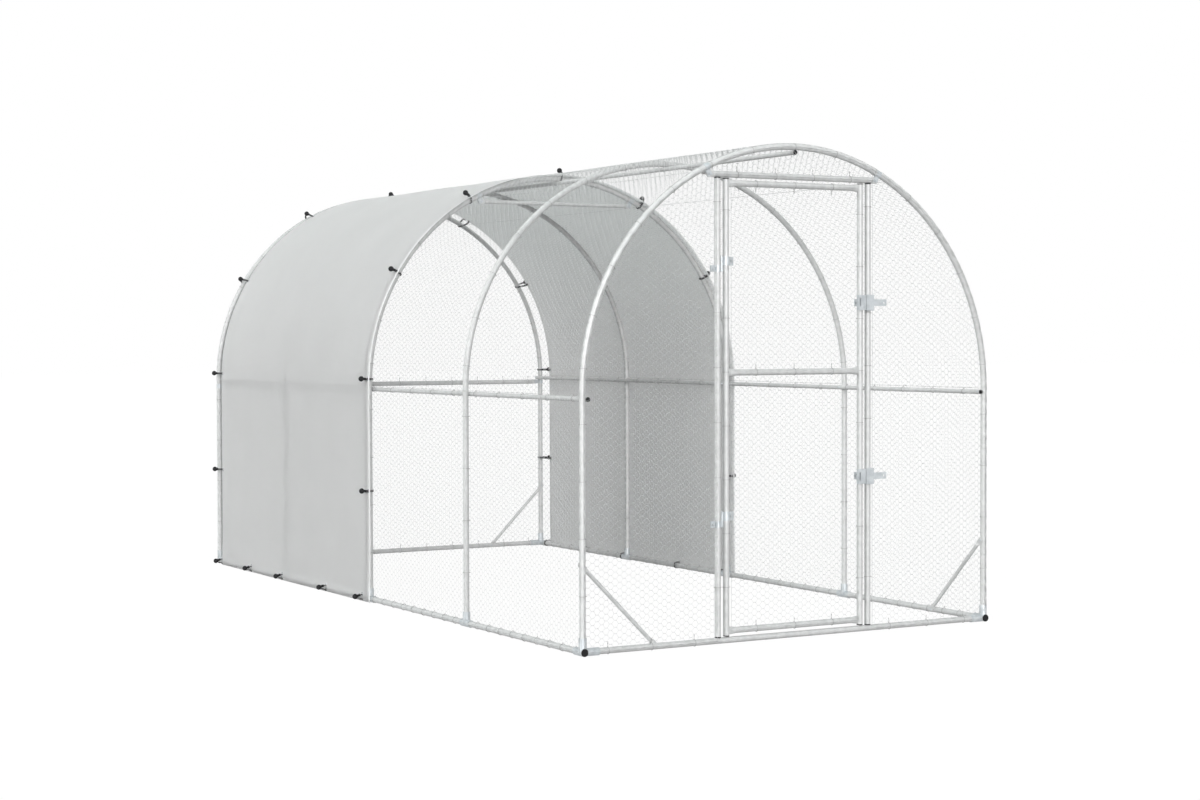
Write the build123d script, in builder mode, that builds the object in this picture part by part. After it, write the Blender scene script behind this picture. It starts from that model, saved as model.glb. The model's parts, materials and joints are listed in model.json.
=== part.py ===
from build123d import *
import os
from math import atan2, cos, degrees, pi, sin, sqrt, tan

# Overall sizes over the tubes, in millimetres; X to the right, front at -Y, ground at Z = 0
LENGTH = 4000.0
WIDTH = 2000.0
HEIGHT = 2000.0
BAYS = 4

# Tubes
TUBE_OD = 25.0
TUBE_WALL = 1.0
RAIL_OD = 19.0
BRACE_OD = 16.0
SPIGOT_LENGTH = 40.0
SPIGOT_PLAY = 0.15
LEG_JOINT_BELOW_SPRING = 75.0
BOW_JOINT_OFF_APEX = 25.0
TOUCH_GAP = 0.3

# Foot connectors
SLEEVE_WALL = 3.0
SLEEVE_PLAY = 0.2
CORNER_ALONG = 55.0
CORNER_ACROSS = 70.0
CORNER_UP = 55.0
TEE_HALF = 40.0
TEE_UP = 48.0

# Long rails inside the hoops
MID_RAIL_BELOW_SPRING = 15.0
REAR_RAIL_UNDER = 23.0
RAIL_PAST_HOOP = 7.5

# Pressed flat tube ends
TIE_BELOW_TOP = 134.0
TIE_BOLT_INSIDE = 30.0
TAB_THICKNESS = 3.0
TAB_LENGTH = 16.0
TAB_CRIMP_LENGTH = 10.0
HEADER_TAB_HALF = 14.0
COLLAR_TAB_HALF = 12.0
REAR_TAB_HALF = 12.0
BRACE_TAB_HALF = 12.0
BRACE_TAB_LENGTH = 24.0
BRACE_TAB_THICKNESS = 2.0
BRACE_REACH = 335.0

# Strap clamps
CLAMP_PLAY = 0.1
CLAMP_WALL = 2.5
CLAMP_EAR_WALL = 2.5
CLAMP_EAR_GAP = 3.0
CLAMP_EAR_BOLT = 24.0
CLAMP_EAR_END = 33.0
TIE_CLAMP_WALL = 2.0
TIE_CLAMP_WIDTH = 22.0
TIE_EAR_END_PAST_BOLT = 8.0

# Screws, bolts and nuts
SCREW_R = 2.4
SCREW_HEAD_R = 5.0
SCREW_HEAD_H = 3.0
SCREW_BITE = 8.0
SCREW_PAST = 1.0
BOLT_R = 3.0
BOLT_HEAD_R = 5.5
BOLT_HEAD_H = 3.5
BOLT_TIP = 2.0
NUT_R = 5.7
NUT_H = 4.5
HEAD_TAPER = 25.0
HOLE_PLAY = 0.15
NUT_PLAY = 0.05

# Plastic plugs
PLUG_PLAY = 0.1
PLUG_SHANK = 14.0
RAIL_PLUG_BEFORE_SCREW = 1.1
PLUG_RIM = 4.0
PLUG_DOME = 3.0
PLUG_TAPER = 15.0
PEG_R = 4.0
PEG_LENGTH = 6.0

# Door frame and posts
POST_X = 370.0
STILE_FROM_POST = 40.0
DOOR_GAP = 2.5
DOOR_TOP_RAIL_INSET = 15.0
DOOR_MID_RAIL_Z = 1081.0
DOOR_BOTTOM_RAIL_INSET = 18.3
FLARE_LENGTH = 32.0
FLARE_HALF = 17.0
FLARE_DEPTH = 12.0
COPE_DEPTH = 4.0

# Hinges
HINGE_LEVELS = (492.5, 1505.5)
HINGE_GAP = 0.3
HINGE_POST_CLAMP_H = 25.0
HINGE_DOOR_CLAMP_H = 35.0
EYE_WALL = 2.3
PIN_PLAY = 0.05
PIN_PAST_EYE = 3.0
EYE_OFF_TUBE = 1.2

# Latches
LATCH_LEVELS = (647.0, 1362.0)
LATCH_CLAMP_H = 30.0
BOLT_BAR_HEIGHT = 27.0
BOLT_BAR_THICKNESS = 4.0
BOLT_BAR_BEFORE_GAP = 2.0
BOLT_BAR_LENGTH = 102.0
BOLT_BAR_PLAY = 0.4
BOLT_BAR_BEFORE_NET = 0.6
BOLT_BAR_CORNER = 4.0
LOCK_HOLE_R = 4.0
LOCK_HOLE_FROM_END = 12.0
HOUSING_WALL = 2.6
HOUSING_LIP = 3.0
GUIDE_BEFORE_GAP = 5.0
GUIDE_PAST_POST = 14.0
GUIDE_HEIGHT = 66.0
KEEPER_PLATE_PAST_STILE = 30.0
KEEPER_HOUSING_PAST_STILE = 13.0
KEEPER_BEFORE_GUIDE = 2.0
KEEPER_HEIGHT = 62.0
KEEPER_FLANGE = 12.0
KEEPER_WINDOW_HALF = 18.0

# Netting, drawn with a wide cell that stands for the fine hexagonal mesh
NET_CELL = 262.0
NET_WEB = 4.0
NET_RIM = 4.0
NET_THICKNESS = 2.0
NET_GAP = 0.3
NET_EDGE_PAST_HOOP = 2.0
NET_WALL_SHIFT_Y = 55.0
NET_WALL_SHIFT_Z = 15.0
NET_ROOF_SHIFT_Y = 215.0
NET_PAST_POST = 16.0
NET_STILE_GAP = 3.5
ROOF_STRIPS = 12
ROOF_WIDTHS = 3

# Rain cover, its eyelets and the ball bungees
COVER_GAP = 0.5
COVER_THICKNESS = 0.6
COVER_HEM_Z = 8.0
COVER_FRONT_OVERHANG = 40.0
COVER_REAR_SHORT = 82.0
EYELET_HOLE_R = 5.0
EYELET_R = 10.0
EYELET_THICKNESS = 1.0
EYELET_SEAT = 0.1
BALL_R = 12.5
CORD_R = 1.4
CORD_BEND = 3.0
BUNGEE_PITCH = 516.0
BUNGEES_ON_SIDE = 4
BUNGEE_RIDGE_SHIFT = 20.0
MID_BALL_BEHIND = 2.0
REAR_BALL_AHEAD = 30.0
REAR_EYELET_AHEAD = 100.0
RAIL_EYELET_Z = 34.0
RAIL_BALL_Z = 22.0
RAIL_BUNGEE_FROM_HOOP = 62.0
CORD_PAST_EDGE = 6.0
CORD_TUCK = 4.0

# Values worked out from the sizes above
TUBE_R = TUBE_OD / 2
TUBE_BORE_R = TUBE_R - TUBE_WALL
RAIL_R = RAIL_OD / 2
SPIGOT_R = TUBE_BORE_R - SPIGOT_PLAY
SLEEVE_BORE_R = TUBE_R + SLEEVE_PLAY
SLEEVE_R = SLEEVE_BORE_R + SLEEVE_WALL
STUB_FLOOR = SLEEVE_R - SLEEVE_WALL / 3
BASE_Z = SLEEVE_R
HOOP_R = WIDTH / 2 - TUBE_R
SPRING_Z = HEIGHT - WIDTH / 2
BAY = (LENGTH - TUBE_OD) / BAYS
HOOP_YS = [step * BAY - (LENGTH - TUBE_OD) / 2 for step in range(BAYS + 1)]
FRONT_Y = HOOP_YS[0]
MID_Y = HOOP_YS[BAYS // 2]
REAR_Y = HOOP_YS[-1]
LEG_FOOT_Z = BASE_Z + STUB_FLOOR + TOUCH_GAP
LEG_JOINT_Z = SPRING_Z - LEG_JOINT_BELOW_SPRING
MID_RAIL_Z = SPRING_Z - MID_RAIL_BELOW_SPRING
MID_RAIL_X = HOOP_R - TUBE_R - RAIL_R - TOUCH_GAP
RIDGE_Z = HEIGHT - TUBE_OD - RAIL_R - TOUCH_GAP
RAIL_END = REAR_Y + RAIL_PAST_HOOP
RAIL_PLUG_SHANK = RAIL_PAST_HOOP - SCREW_R - RAIL_PLUG_BEFORE_SCREW
REAR_RAIL_Z = MID_RAIL_Z - REAR_RAIL_UNDER
TIE_Z = HEIGHT - TIE_BELOW_TOP
TIE_BOLT_X = sqrt((HOOP_R - TIE_BOLT_INSIDE) ** 2 - (TIE_Z - SPRING_Z) ** 2)
TIE_ANGLE = atan2(TIE_Z - SPRING_Z, TIE_BOLT_X)
CLAMP_R = TUBE_R + CLAMP_PLAY
SCREW_HOLE_R = SCREW_R + HOLE_PLAY
RAIL_SCREW_LENGTH = RAIL_OD + TOUCH_GAP + SCREW_BITE
BRACE_SCREW_LENGTH = BRACE_TAB_THICKNESS + TOUCH_GAP + SCREW_BITE
BRACE_HOLE_DEPTH = BRACE_SCREW_LENGTH + SCREW_PAST
BOLT_HOLE_R = BOLT_R + HOLE_PLAY
POST_LOW = BASE_Z + TUBE_R + PLUG_RIM
POST_HIGH = TIE_Z - TUBE_R - PLUG_RIM
STILE_LOW = POST_LOW + DOOR_GAP
STILE_HIGH = POST_HIGH - DOOR_GAP
STILE_X = POST_X - STILE_FROM_POST
DOOR_TOP_RAIL_Z = STILE_HIGH - DOOR_TOP_RAIL_INSET
DOOR_BOTTOM_RAIL_Z = STILE_LOW + DOOR_BOTTOM_RAIL_INSET
DOOR_GAP_X = POST_X - STILE_FROM_POST / 2
HINGE_X = -DOOR_GAP_X
EYE_R = STILE_FROM_POST / 2 - TUBE_R - EYE_OFF_TUBE
PIN_R = EYE_R - EYE_WALL
BOLT_BAR_START = DOOR_GAP_X - BOLT_BAR_BEFORE_GAP
GUIDE_LEFT = DOOR_GAP_X - GUIDE_BEFORE_GAP
GUIDE_RIGHT = POST_X + GUIDE_PAST_POST
KEEPER_LEFT = STILE_X - KEEPER_PLATE_PAST_STILE
KEEPER_HOUSING_LEFT = STILE_X - KEEPER_HOUSING_PAST_STILE
KEEPER_RIGHT = GUIDE_LEFT - KEEPER_BEFORE_GUIDE
NET_DOOR_EDGE = POST_X + NET_PAST_POST
NET_OFFSET = SLEEVE_R + NET_GAP
BAR_BACK = NET_OFFSET + NET_THICKNESS + BOLT_BAR_BEFORE_NET
BAR_FRONT = BAR_BACK + BOLT_BAR_THICKNESS
HOUSING_BACK = CLAMP_R + CLAMP_WALL / 2
HOUSING_FRONT = BAR_FRONT + BOLT_BAR_PLAY + HOUSING_WALL
ROOF_APOTHEM = HOOP_R + CLAMP_R + TIE_CLAMP_WALL + NET_GAP
STRIP_TURN = pi / ROOF_STRIPS
COVER_INNER_R = (ROOF_APOTHEM + NET_THICKNESS) / cos(STRIP_TURN / 2) + COVER_GAP
COVER_R = COVER_INNER_R + COVER_THICKNESS
COVER_FRONT_Y = MID_Y - COVER_FRONT_OVERHANG
COVER_REAR_Y = REAR_Y - COVER_REAR_SHORT
COVER_OUT = COVER_R - HOOP_R
CORD_OUT = COVER_OUT + EYELET_THICKNESS + TOUCH_GAP + CORD_R
CORD_IN = TUBE_R + TOUCH_GAP + CORD_R
BALL_OUT = COVER_OUT + EYELET_THICKNESS + TOUCH_GAP + BALL_R
CORD_UNDER_Z = (BASE_Z - TUBE_R) / 2

SIDES = (-1, 1)
UP = (0, 0, 1)
CORNERS = [(side, FRONT_Y, -1) for side in SIDES] + [(side, REAR_Y, 1) for side in SIDES]

os.makedirs("parts", exist_ok=True)


def save(part, label):
    """Label a finished piece and write its STEP file"""
    part.label = label
    export_step(part, f"parts/{label}.step")


def tubes(runs, outer_d, holes=(), hole_r=SCREW_HOLE_R, hole_depth=TUBE_R):
    """Round tubes from each start point to its end point, with drilled holes"""
    with BuildPart() as built:
        for start, end in runs:
            along = Vector(*end) - Vector(*start)
            with BuildSketch(Plane(origin=start, z_dir=along)):
                Circle(outer_d / 2)
                Circle(outer_d / 2 - TUBE_WALL, mode=Mode.SUBTRACT)
            extrude(amount=along.length)
        if holes:
            with BuildSketch(*holes):
                Circle(hole_r)
            extrude(amount=hole_depth, mode=Mode.SUBTRACT)
    return built.part


def swaged_leg(x, y, holes):
    """Straight hoop leg with a narrowed spigot at its top"""
    height = LEG_JOINT_Z - LEG_FOOT_Z
    spigot_bore_r = SPIGOT_R - TUBE_WALL
    neck = 2 * TUBE_WALL
    profile = [
        (TUBE_BORE_R, 0),
        (TUBE_R, 0),
        (TUBE_R, height),
        (SPIGOT_R, height),
        (SPIGOT_R, height + SPIGOT_LENGTH),
        (spigot_bore_r, height + SPIGOT_LENGTH),
        (spigot_bore_r, height - neck),
        (TUBE_BORE_R, height - 2 * neck),
    ]
    with BuildPart() as leg:
        with BuildSketch(Plane(origin=(x, y, LEG_FOOT_Z), x_dir=(1, 0, 0), z_dir=(0, -1, 0))):
            with BuildLine():
                Polyline(*profile, close=True)
            make_face()
        revolve(axis=Axis((x, y, 0), UP))
        if holes:
            with BuildSketch(*holes):
                Circle(SCREW_HOLE_R)
            extrude(amount=BRACE_HOLE_DEPTH, mode=Mode.SUBTRACT)
    return leg.part


def arch_plane(y, angle):
    """Plane across the bow at an angle up from the right springing point"""
    origin = (HOOP_R * cos(angle), y, SPRING_Z + HOOP_R * sin(angle))
    return Plane(origin=origin, x_dir=(0, 1, 0), z_dir=(-sin(angle), 0, cos(angle)))


def hoop_bows(y, holes):
    """Two bent quarter tubes; the right one plugs into the left one beside the apex"""
    right_end = pi / 2 + BOW_JOINT_OFF_APEX / HOOP_R
    collar = 2 * TUBE_WALL / HOOP_R
    spigot = SPIGOT_LENGTH / HOOP_R
    left_start = right_end + TOUCH_GAP / HOOP_R
    turn = Axis((0, y, SPRING_Z), (0, -1, 0))
    with BuildPart() as bows:
        for side in SIDES:
            with BuildSketch(Plane(origin=(side * HOOP_R, y, LEG_JOINT_Z), z_dir=UP)):
                Circle(TUBE_R)
                Circle(TUBE_BORE_R, mode=Mode.SUBTRACT)
            extrude(amount=LEG_JOINT_BELOW_SPRING)
        for start, end in ((0, right_end), (left_start, pi)):
            with BuildSketch(arch_plane(y, start)):
                Circle(TUBE_R)
                Circle(TUBE_BORE_R, mode=Mode.SUBTRACT)
            revolve(axis=turn, revolution_arc=degrees(end - start))
        for reach, outer_r in ((collar, TUBE_BORE_R + TUBE_WALL / 2), (collar + spigot, SPIGOT_R)):
            with BuildSketch(arch_plane(y, right_end - collar)):
                Circle(outer_r)
                Circle(SPIGOT_R - TUBE_WALL, mode=Mode.SUBTRACT)
            revolve(axis=turn, revolution_arc=degrees(reach))
        with BuildSketch(*holes):
            Circle(SCREW_HOLE_R)
        extrude(amount=RAIL_SCREW_LENGTH + SCREW_PAST, mode=Mode.SUBTRACT)
    return bows.part


def tie_frame(y, z):
    """Frame across the coop, facing front"""
    return Plane(origin=(0, y, z), x_dir=(1, 0, 0), z_dir=(0, -1, 0))


def flat_ended_bars(frames, outer_d, bolt_half, tab_half, tab_length, thickness, hole_r):
    """Tubes along each frame's X with both ends pressed flat and drilled through the flats"""
    crimp_end = bolt_half - tab_length
    round_end = crimp_end - TAB_CRIMP_LENGTH
    with BuildPart() as bars:
        for frame in frames:
            start = frame.from_local_coords(Vector(-round_end, 0, 0))
            with BuildSketch(Plane(origin=start, z_dir=frame.x_dir)):
                Circle(outer_d / 2)
                Circle(outer_d / 2 - TUBE_WALL, mode=Mode.SUBTRACT)
            extrude(amount=2 * round_end)
            for side in SIDES:
                near = frame.from_local_coords(Vector(side * round_end, 0, 0))
                far = frame.from_local_coords(Vector(side * crimp_end, 0, 0))
                with BuildSketch(Plane(origin=near, x_dir=frame.z_dir, z_dir=frame.x_dir)):
                    Circle(outer_d / 2)
                with BuildSketch(Plane(origin=far, x_dir=frame.z_dir, z_dir=frame.x_dir)):
                    Ellipse(thickness / 2, tab_half)
                loft()
            with BuildSketch(frame):
                for side in SIDES:
                    with Locations((side * (bolt_half - tab_length / 2), 0)):
                        Rectangle(tab_length, 2 * tab_half)
                    with Locations((side * bolt_half, 0)):
                        Circle(tab_half)
                        Circle(hole_r, mode=Mode.SUBTRACT)
            extrude(amount=thickness / 2, both=True)
    return bars.part


def foot_fittings(through, through_length, stubs):
    """Sleeves bored right through, with blind stub sleeves branching off them"""
    with BuildPart() as fittings:
        with BuildSketch(*through):
            Circle(SLEEVE_R)
        extrude(amount=through_length)
        for planes, length in stubs:
            with BuildSketch(*planes):
                Circle(SLEEVE_R)
            extrude(amount=length)
        for planes, length in stubs:
            with BuildSketch(*[plane.offset(STUB_FLOOR) for plane in planes]):
                Circle(SLEEVE_BORE_R)
            extrude(amount=length, mode=Mode.SUBTRACT)
        with BuildSketch(*through):
            Circle(SLEEVE_BORE_R)
        extrude(amount=through_length, mode=Mode.SUBTRACT)
    return fittings.part


def plugs(planes, bore_r, rim_r, rim_h, shank=PLUG_SHANK, taper=0.0, peg=0.0):
    """Plastic plugs on tube end planes that face outward, with an optional locating peg"""
    with BuildPart() as built:
        with BuildSketch(*[plane.offset(-shank) for plane in planes]):
            Circle(bore_r - PLUG_PLAY)
        extrude(amount=shank)
        with BuildSketch(*planes):
            Circle(rim_r)
        extrude(amount=rim_h, taper=taper)
        if peg:
            with BuildSketch(*[plane.offset(rim_h) for plane in planes]):
                Circle(PEG_R)
            extrude(amount=peg)
    return built.part


def screws(planes, length):
    """Screws seated with the underside of the head on each plane"""
    with BuildPart() as built:
        with BuildSketch(*planes):
            Circle(SCREW_R)
        extrude(amount=length)
        with BuildSketch(*planes):
            Circle(SCREW_HEAD_R)
        extrude(amount=-SCREW_HEAD_H, taper=HEAD_TAPER)
    return built.part


def ear_planes(planes, ear_gap, ear_bolt):
    """Planes on the outer face of one ear of each clamp, facing through both ears"""
    face = -ear_gap / 2 - CLAMP_EAR_WALL
    return [
        Plane(origin=plane.from_local_coords(Vector(ear_bolt, face, 0)), z_dir=plane.y_dir)
        for plane in planes
    ]


def clamp_bolts(planes, ear_gap):
    """Bolts through the ears on ear planes, each with its own nut"""
    grip = ear_gap + 2 * CLAMP_EAR_WALL
    with BuildPart() as built:
        with BuildSketch(*planes):
            Circle(BOLT_R)
        extrude(amount=grip + NUT_H + BOLT_TIP)
        with BuildSketch(*planes):
            Circle(BOLT_HEAD_R)
        extrude(amount=-BOLT_HEAD_H, taper=HEAD_TAPER)
        with BuildSketch(*[plane.offset(grip) for plane in planes]):
            RegularPolygon(NUT_R, 6)
            Circle(BOLT_R + NUT_PLAY, mode=Mode.SUBTRACT)
        extrude(amount=NUT_H)
    return built.part


def strap_clamps(planes, wall, width, ear_gap, ear_bolt, ear_end):
    """Straps round a tube along each plane's Z, with two ears along its X"""
    span = ear_gap + 2 * CLAMP_EAR_WALL
    with BuildPart() as clamps:
        with BuildSketch(*[plane.offset(-width / 2) for plane in planes]):
            Circle(CLAMP_R + wall)
            with Locations((ear_end / 2, 0)):
                Rectangle(ear_end, span)
            Circle(CLAMP_R, mode=Mode.SUBTRACT)
            with Locations((ear_end / 2, 0)):
                Rectangle(ear_end, ear_gap, mode=Mode.SUBTRACT)
        extrude(amount=width)
        with BuildSketch(*ear_planes(planes, ear_gap, ear_bolt)):
            Circle(BOLT_HOLE_R)
        extrude(amount=span, mode=Mode.SUBTRACT)
    return clamps.part


def door_rail(z):
    """Door rail whose ends widen and sit round the stiles"""
    round_end = STILE_X - TUBE_R - FLARE_LENGTH
    end = STILE_X - TUBE_R + COPE_DEPTH
    with BuildPart() as rail:
        with BuildSketch(Plane(origin=(-round_end, FRONT_Y, z), z_dir=(1, 0, 0))):
            Circle(TUBE_R)
            Circle(TUBE_BORE_R, mode=Mode.SUBTRACT)
        extrude(amount=2 * round_end)
        across = Plane(origin=(0, FRONT_Y, z), x_dir=(0, 1, 0), z_dir=(1, 0, 0))
        for side in SIDES:
            with BuildSketch(across.offset(side * round_end)):
                Circle(TUBE_R)
            with BuildSketch(across.offset(side * end)):
                Ellipse(FLARE_DEPTH / 2, FLARE_HALF)
            loft()
        with BuildSketch(Plane.XY.offset(z - FLARE_HALF)):
            with Locations((-STILE_X, FRONT_Y), (STILE_X, FRONT_Y)):
                Circle(TUBE_R)
        extrude(amount=2 * FLARE_HALF, mode=Mode.SUBTRACT)
    return rail.part


def limits(x0, x1, y0, y1, mode=Mode.ADD):
    """Rectangle between four limits in the open sketch"""
    with Locations(((x0 + x1) / 2, (y0 + y1) / 2)):
        Rectangle(x1 - x0, y1 - y0, mode=mode)


def latch_housings(x_tube, x_left, x_right, plate_left, height, window, flange):
    """Latch bodies clamped round a tube, with a slot for the sliding bar"""
    planes = [Plane(origin=(x_tube, FRONT_Y, z), x_dir=(0, 1, 0), z_dir=UP) for z in LATCH_LEVELS]
    straps = strap_clamps(planes, CLAMP_WALL, LATCH_CLAMP_H, CLAMP_EAR_GAP, CLAMP_EAR_BOLT, CLAMP_EAR_END)
    slot_half = BOLT_BAR_HEIGHT / 2 + BOLT_BAR_PLAY
    body_half = slot_half + HOUSING_LIP
    front = FRONT_Y - HOUSING_FRONT
    plate_back = front + HOUSING_WALL
    with BuildPart() as housings:
        add(straps)
        with BuildSketch(*[Plane.XY.offset(z - body_half) for z in LATCH_LEVELS]):
            limits(x_left, x_right, front, FRONT_Y - HOUSING_BACK)
        extrude(amount=2 * body_half)
        with BuildSketch(*[Plane.XY.offset(z - height / 2) for z in LATCH_LEVELS]):
            limits(plate_left, x_right, front, plate_back)
            if flange:
                limits(plate_left - HOUSING_WALL, plate_left, front - flange, plate_back)
        extrude(amount=height)
        with BuildSketch(*[Plane.XY.offset(z - slot_half) for z in LATCH_LEVELS]):
            limits(x_left, x_right, FRONT_Y - BAR_FRONT - BOLT_BAR_PLAY, FRONT_Y - BAR_BACK + BOLT_BAR_PLAY)
        extrude(amount=2 * slot_half, mode=Mode.SUBTRACT)
        if window:
            with BuildSketch(*[Plane.XY.offset(z - window) for z in LATCH_LEVELS]):
                limits(plate_left, x_left, front, plate_back)
            extrude(amount=2 * window, mode=Mode.SUBTRACT)
    return housings.part


def latch_bar(z):
    """Flat sliding bar, drawn back, with a hole for a padlock"""
    with BuildPart() as bar:
        with BuildSketch(Plane(origin=(0, FRONT_Y - BAR_BACK, z), x_dir=(1, 0, 0), z_dir=(0, -1, 0))):
            with Locations((BOLT_BAR_START + BOLT_BAR_LENGTH / 2, 0)):
                RectangleRounded(BOLT_BAR_LENGTH, BOLT_BAR_HEIGHT, BOLT_BAR_CORNER)
            with Locations((BOLT_BAR_START + BOLT_BAR_LENGTH - LOCK_HOLE_FROM_END, 0)):
                Circle(LOCK_HOLE_R, mode=Mode.SUBTRACT)
        extrude(amount=BOLT_BAR_THICKNESS)
    return bar.part


def cell_centres(window, shift_x, shift_y):
    """Centres of the hexagonal cells that cover a window, spread from its shifted middle"""
    left, right, low, high = window
    column_step = NET_CELL * sqrt(3) / 2
    columns = int(((right - left) / 2 + abs(shift_x)) / column_step) + 1
    rows = int(((high - low) / 2 + abs(shift_y)) / NET_CELL) + 1
    centres = []
    for column in range(-columns, columns + 1):
        half_row = (column % 2) / 2
        for row in range(-rows, rows + 1):
            x = (left + right) / 2 + shift_x + column * column_step
            y = (low + high) / 2 + shift_y + (row + half_row) * NET_CELL
            centres.append((x, y))
    return centres


def arch_face(inset):
    """Face under the hoop, drawn in all round by an inset"""
    with BuildSketch(Plane.XY, mode=Mode.PRIVATE) as arch:
        with Locations((0, SPRING_Z)):
            Circle(HOOP_R - inset)
        limits(inset - HOOP_R, HOOP_R - inset, 0, SPRING_Z)
    return arch.sketch


def hex_net(frames, windows, shift_x=0.0, shift_y=0.0, under_arch=False, corner_notch=0.0):
    """Flat hexagonal netting on each frame, one panel for each window"""
    gap_r = (NET_CELL - NET_WEB) / sqrt(3)
    with BuildPart() as net:
        for window in windows:
            left, right, low, high = window
            with BuildSketch(Plane.XY, mode=Mode.PRIVATE) as gaps:
                with Locations(*cell_centres(window, shift_x, shift_y)):
                    RegularPolygon(gap_r, 6)
                limits(left + NET_RIM, right - NET_RIM, low + NET_RIM, high - NET_RIM, Mode.INTERSECT)
                if under_arch:
                    add(arch_face(NET_RIM), mode=Mode.INTERSECT)
            with BuildSketch(*frames):
                limits(left, right, low, high)
                if under_arch:
                    add(arch_face(0), mode=Mode.INTERSECT)
                add(gaps.sketch, mode=Mode.SUBTRACT)
                if corner_notch:
                    with Locations((-HOOP_R, BASE_Z), (HOOP_R, BASE_Z)):
                        Circle(corner_notch, mode=Mode.SUBTRACT)
            extrude(amount=NET_THICKNESS, clean=False)
    return net.part


def hoop_point(side, run):
    """Point of the hoop centre line and its outward direction, a run along it from the ground"""
    angle = max(run - SPRING_Z, 0) / HOOP_R
    z = min(run, SPRING_Z) + HOOP_R * sin(angle)
    return (side * HOOP_R * cos(angle), z), (side * cos(angle), sin(angle))


def bungee_frame(hoop_y, side, run):
    """Frame at a hoop with X to the rear and Y outward"""
    (x, z), (out_x, out_z) = hoop_point(side, run)
    return Plane(origin=(x, hoop_y, z), x_dir=(0, 1, 0), z_dir=(out_z, 0, -out_x))


def rail_frame(y, side):
    """Frame at a base rail with X outward and Y up, its origin on the ground"""
    return Plane(origin=(side * HOOP_R, y, 0), x_dir=(side, 0, 0), z_dir=(0, -side, 0))


def local_points(frames, x, y):
    """The same local point in every frame, as global points"""
    return [frame.from_local_coords(Vector(x, y, 0)) for frame in frames]


def bungee_cords(frames, points, ball):
    """Elastic loops along local points in each frame, ending at the ball"""
    with BuildPart() as cords:
        for frame in frames:
            with BuildLine(frame) as path:
                FilletPolyline(*points, radius=CORD_BEND)
            with BuildSketch(Plane(path.line @ 0, z_dir=path.line % 0)):
                Circle(CORD_R)
            sweep()
        with Locations(*local_points(frames, *ball)):
            Sphere(BALL_R, mode=Mode.SUBTRACT)
    return cords.part


# Where screws, braces, clamps and bungees sit
RIDGE_SCREWS = [Plane(origin=(0, y, RIDGE_Z - RAIL_R), z_dir=UP) for y in HOOP_YS]
MID_SCREWS = {
    side: [
        Plane(origin=(side * (MID_RAIL_X - RAIL_R), y, MID_RAIL_Z), z_dir=(side, 0, 0))
        for y in HOOP_YS
    ]
    for side in SIDES
}

# Each brace: corner of the frame, direction along the base rail, direction into the coop
BRACES = {
    "front_left": (Vector(-HOOP_R, FRONT_Y, BASE_Z), Vector(1, 0, 0), Vector(0, 1, 0)),
    "front_right": (Vector(HOOP_R, FRONT_Y, BASE_Z), Vector(0, 1, 0), Vector(-1, 0, 0)),
    "rear_right": (Vector(HOOP_R, REAR_Y, BASE_Z), Vector(-1, 0, 0), Vector(0, -1, 0)),
    "rear_left": (Vector(-HOOP_R, REAR_Y, BASE_Z), Vector(0, -1, 0), Vector(1, 0, 0)),
}
BRACE_MIDDLE = TUBE_R + TOUCH_GAP + BRACE_TAB_THICKNESS / 2
BRACE_FACE = TUBE_R + TOUCH_GAP + BRACE_TAB_THICKNESS
brace_frames = []
brace_leg_screw = {}
brace_rail_screw = {}
for name, (corner, along, inward) in BRACES.items():
    middle = corner + (along + Vector(*UP)) * (BRACE_REACH / 2) + inward * BRACE_MIDDLE
    brace_frames.append(Plane(origin=middle, x_dir=along - Vector(*UP), z_dir=inward))
    on_leg = corner + Vector(*UP) * BRACE_REACH + inward * BRACE_FACE
    on_rail = corner + along * BRACE_REACH + inward * BRACE_FACE
    brace_leg_screw[name] = Plane(origin=on_leg, z_dir=inward * -1)
    brace_rail_screw[name] = Plane(origin=on_rail, z_dir=inward * -1)

# Hoops
LEG_SCREWS = {
    (FRONT_Y, -1): [brace_leg_screw["front_left"]],
    (FRONT_Y, 1): [brace_leg_screw["front_right"]],
    (REAR_Y, 1): [brace_leg_screw["rear_right"]],
    (REAR_Y, -1): [brace_leg_screw["rear_left"]],
}
for number, y in enumerate(HOOP_YS):
    for side, word in ((-1, "left"), (1, "right")):
        leg = swaged_leg(side * HOOP_R, y, LEG_SCREWS.get((y, side), []))
        save(leg, f"hoop_{number + 1}_{word}_leg")
    bow_screws = [RIDGE_SCREWS[number], MID_SCREWS[-1][number], MID_SCREWS[1][number]]
    save(hoop_bows(y, bow_screws), f"hoop_{number + 1}_bows")

# Foot connectors
corner_through = [
    Plane(origin=(side * HOOP_R, y + out * SLEEVE_R, BASE_Z), z_dir=(0, -out, 0))
    for side, y, out in CORNERS
]
corner_up = [Plane(origin=(side * HOOP_R, y, BASE_Z), z_dir=UP) for side, y, out in CORNERS]
corner_in = [Plane(origin=(side * HOOP_R, y, BASE_Z), z_dir=(-side, 0, 0)) for side, y, out in CORNERS]
corner_stubs = [(corner_up, CORNER_UP), (corner_in, CORNER_ACROSS)]
save(foot_fittings(corner_through, SLEEVE_R + CORNER_ALONG, corner_stubs), "corner_connectors")

tee_feet = [(side * HOOP_R, y, BASE_Z) for side in SIDES for y in HOOP_YS[1:-1]]
tee_through = [Plane(origin=foot, z_dir=(0, 1, 0)).offset(-TEE_HALF) for foot in tee_feet]
tee_up = [Plane(origin=foot, z_dir=UP) for foot in tee_feet]
save(foot_fittings(tee_through, 2 * TEE_HALF, [(tee_up, TEE_UP)]), "foot_tees")

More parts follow.
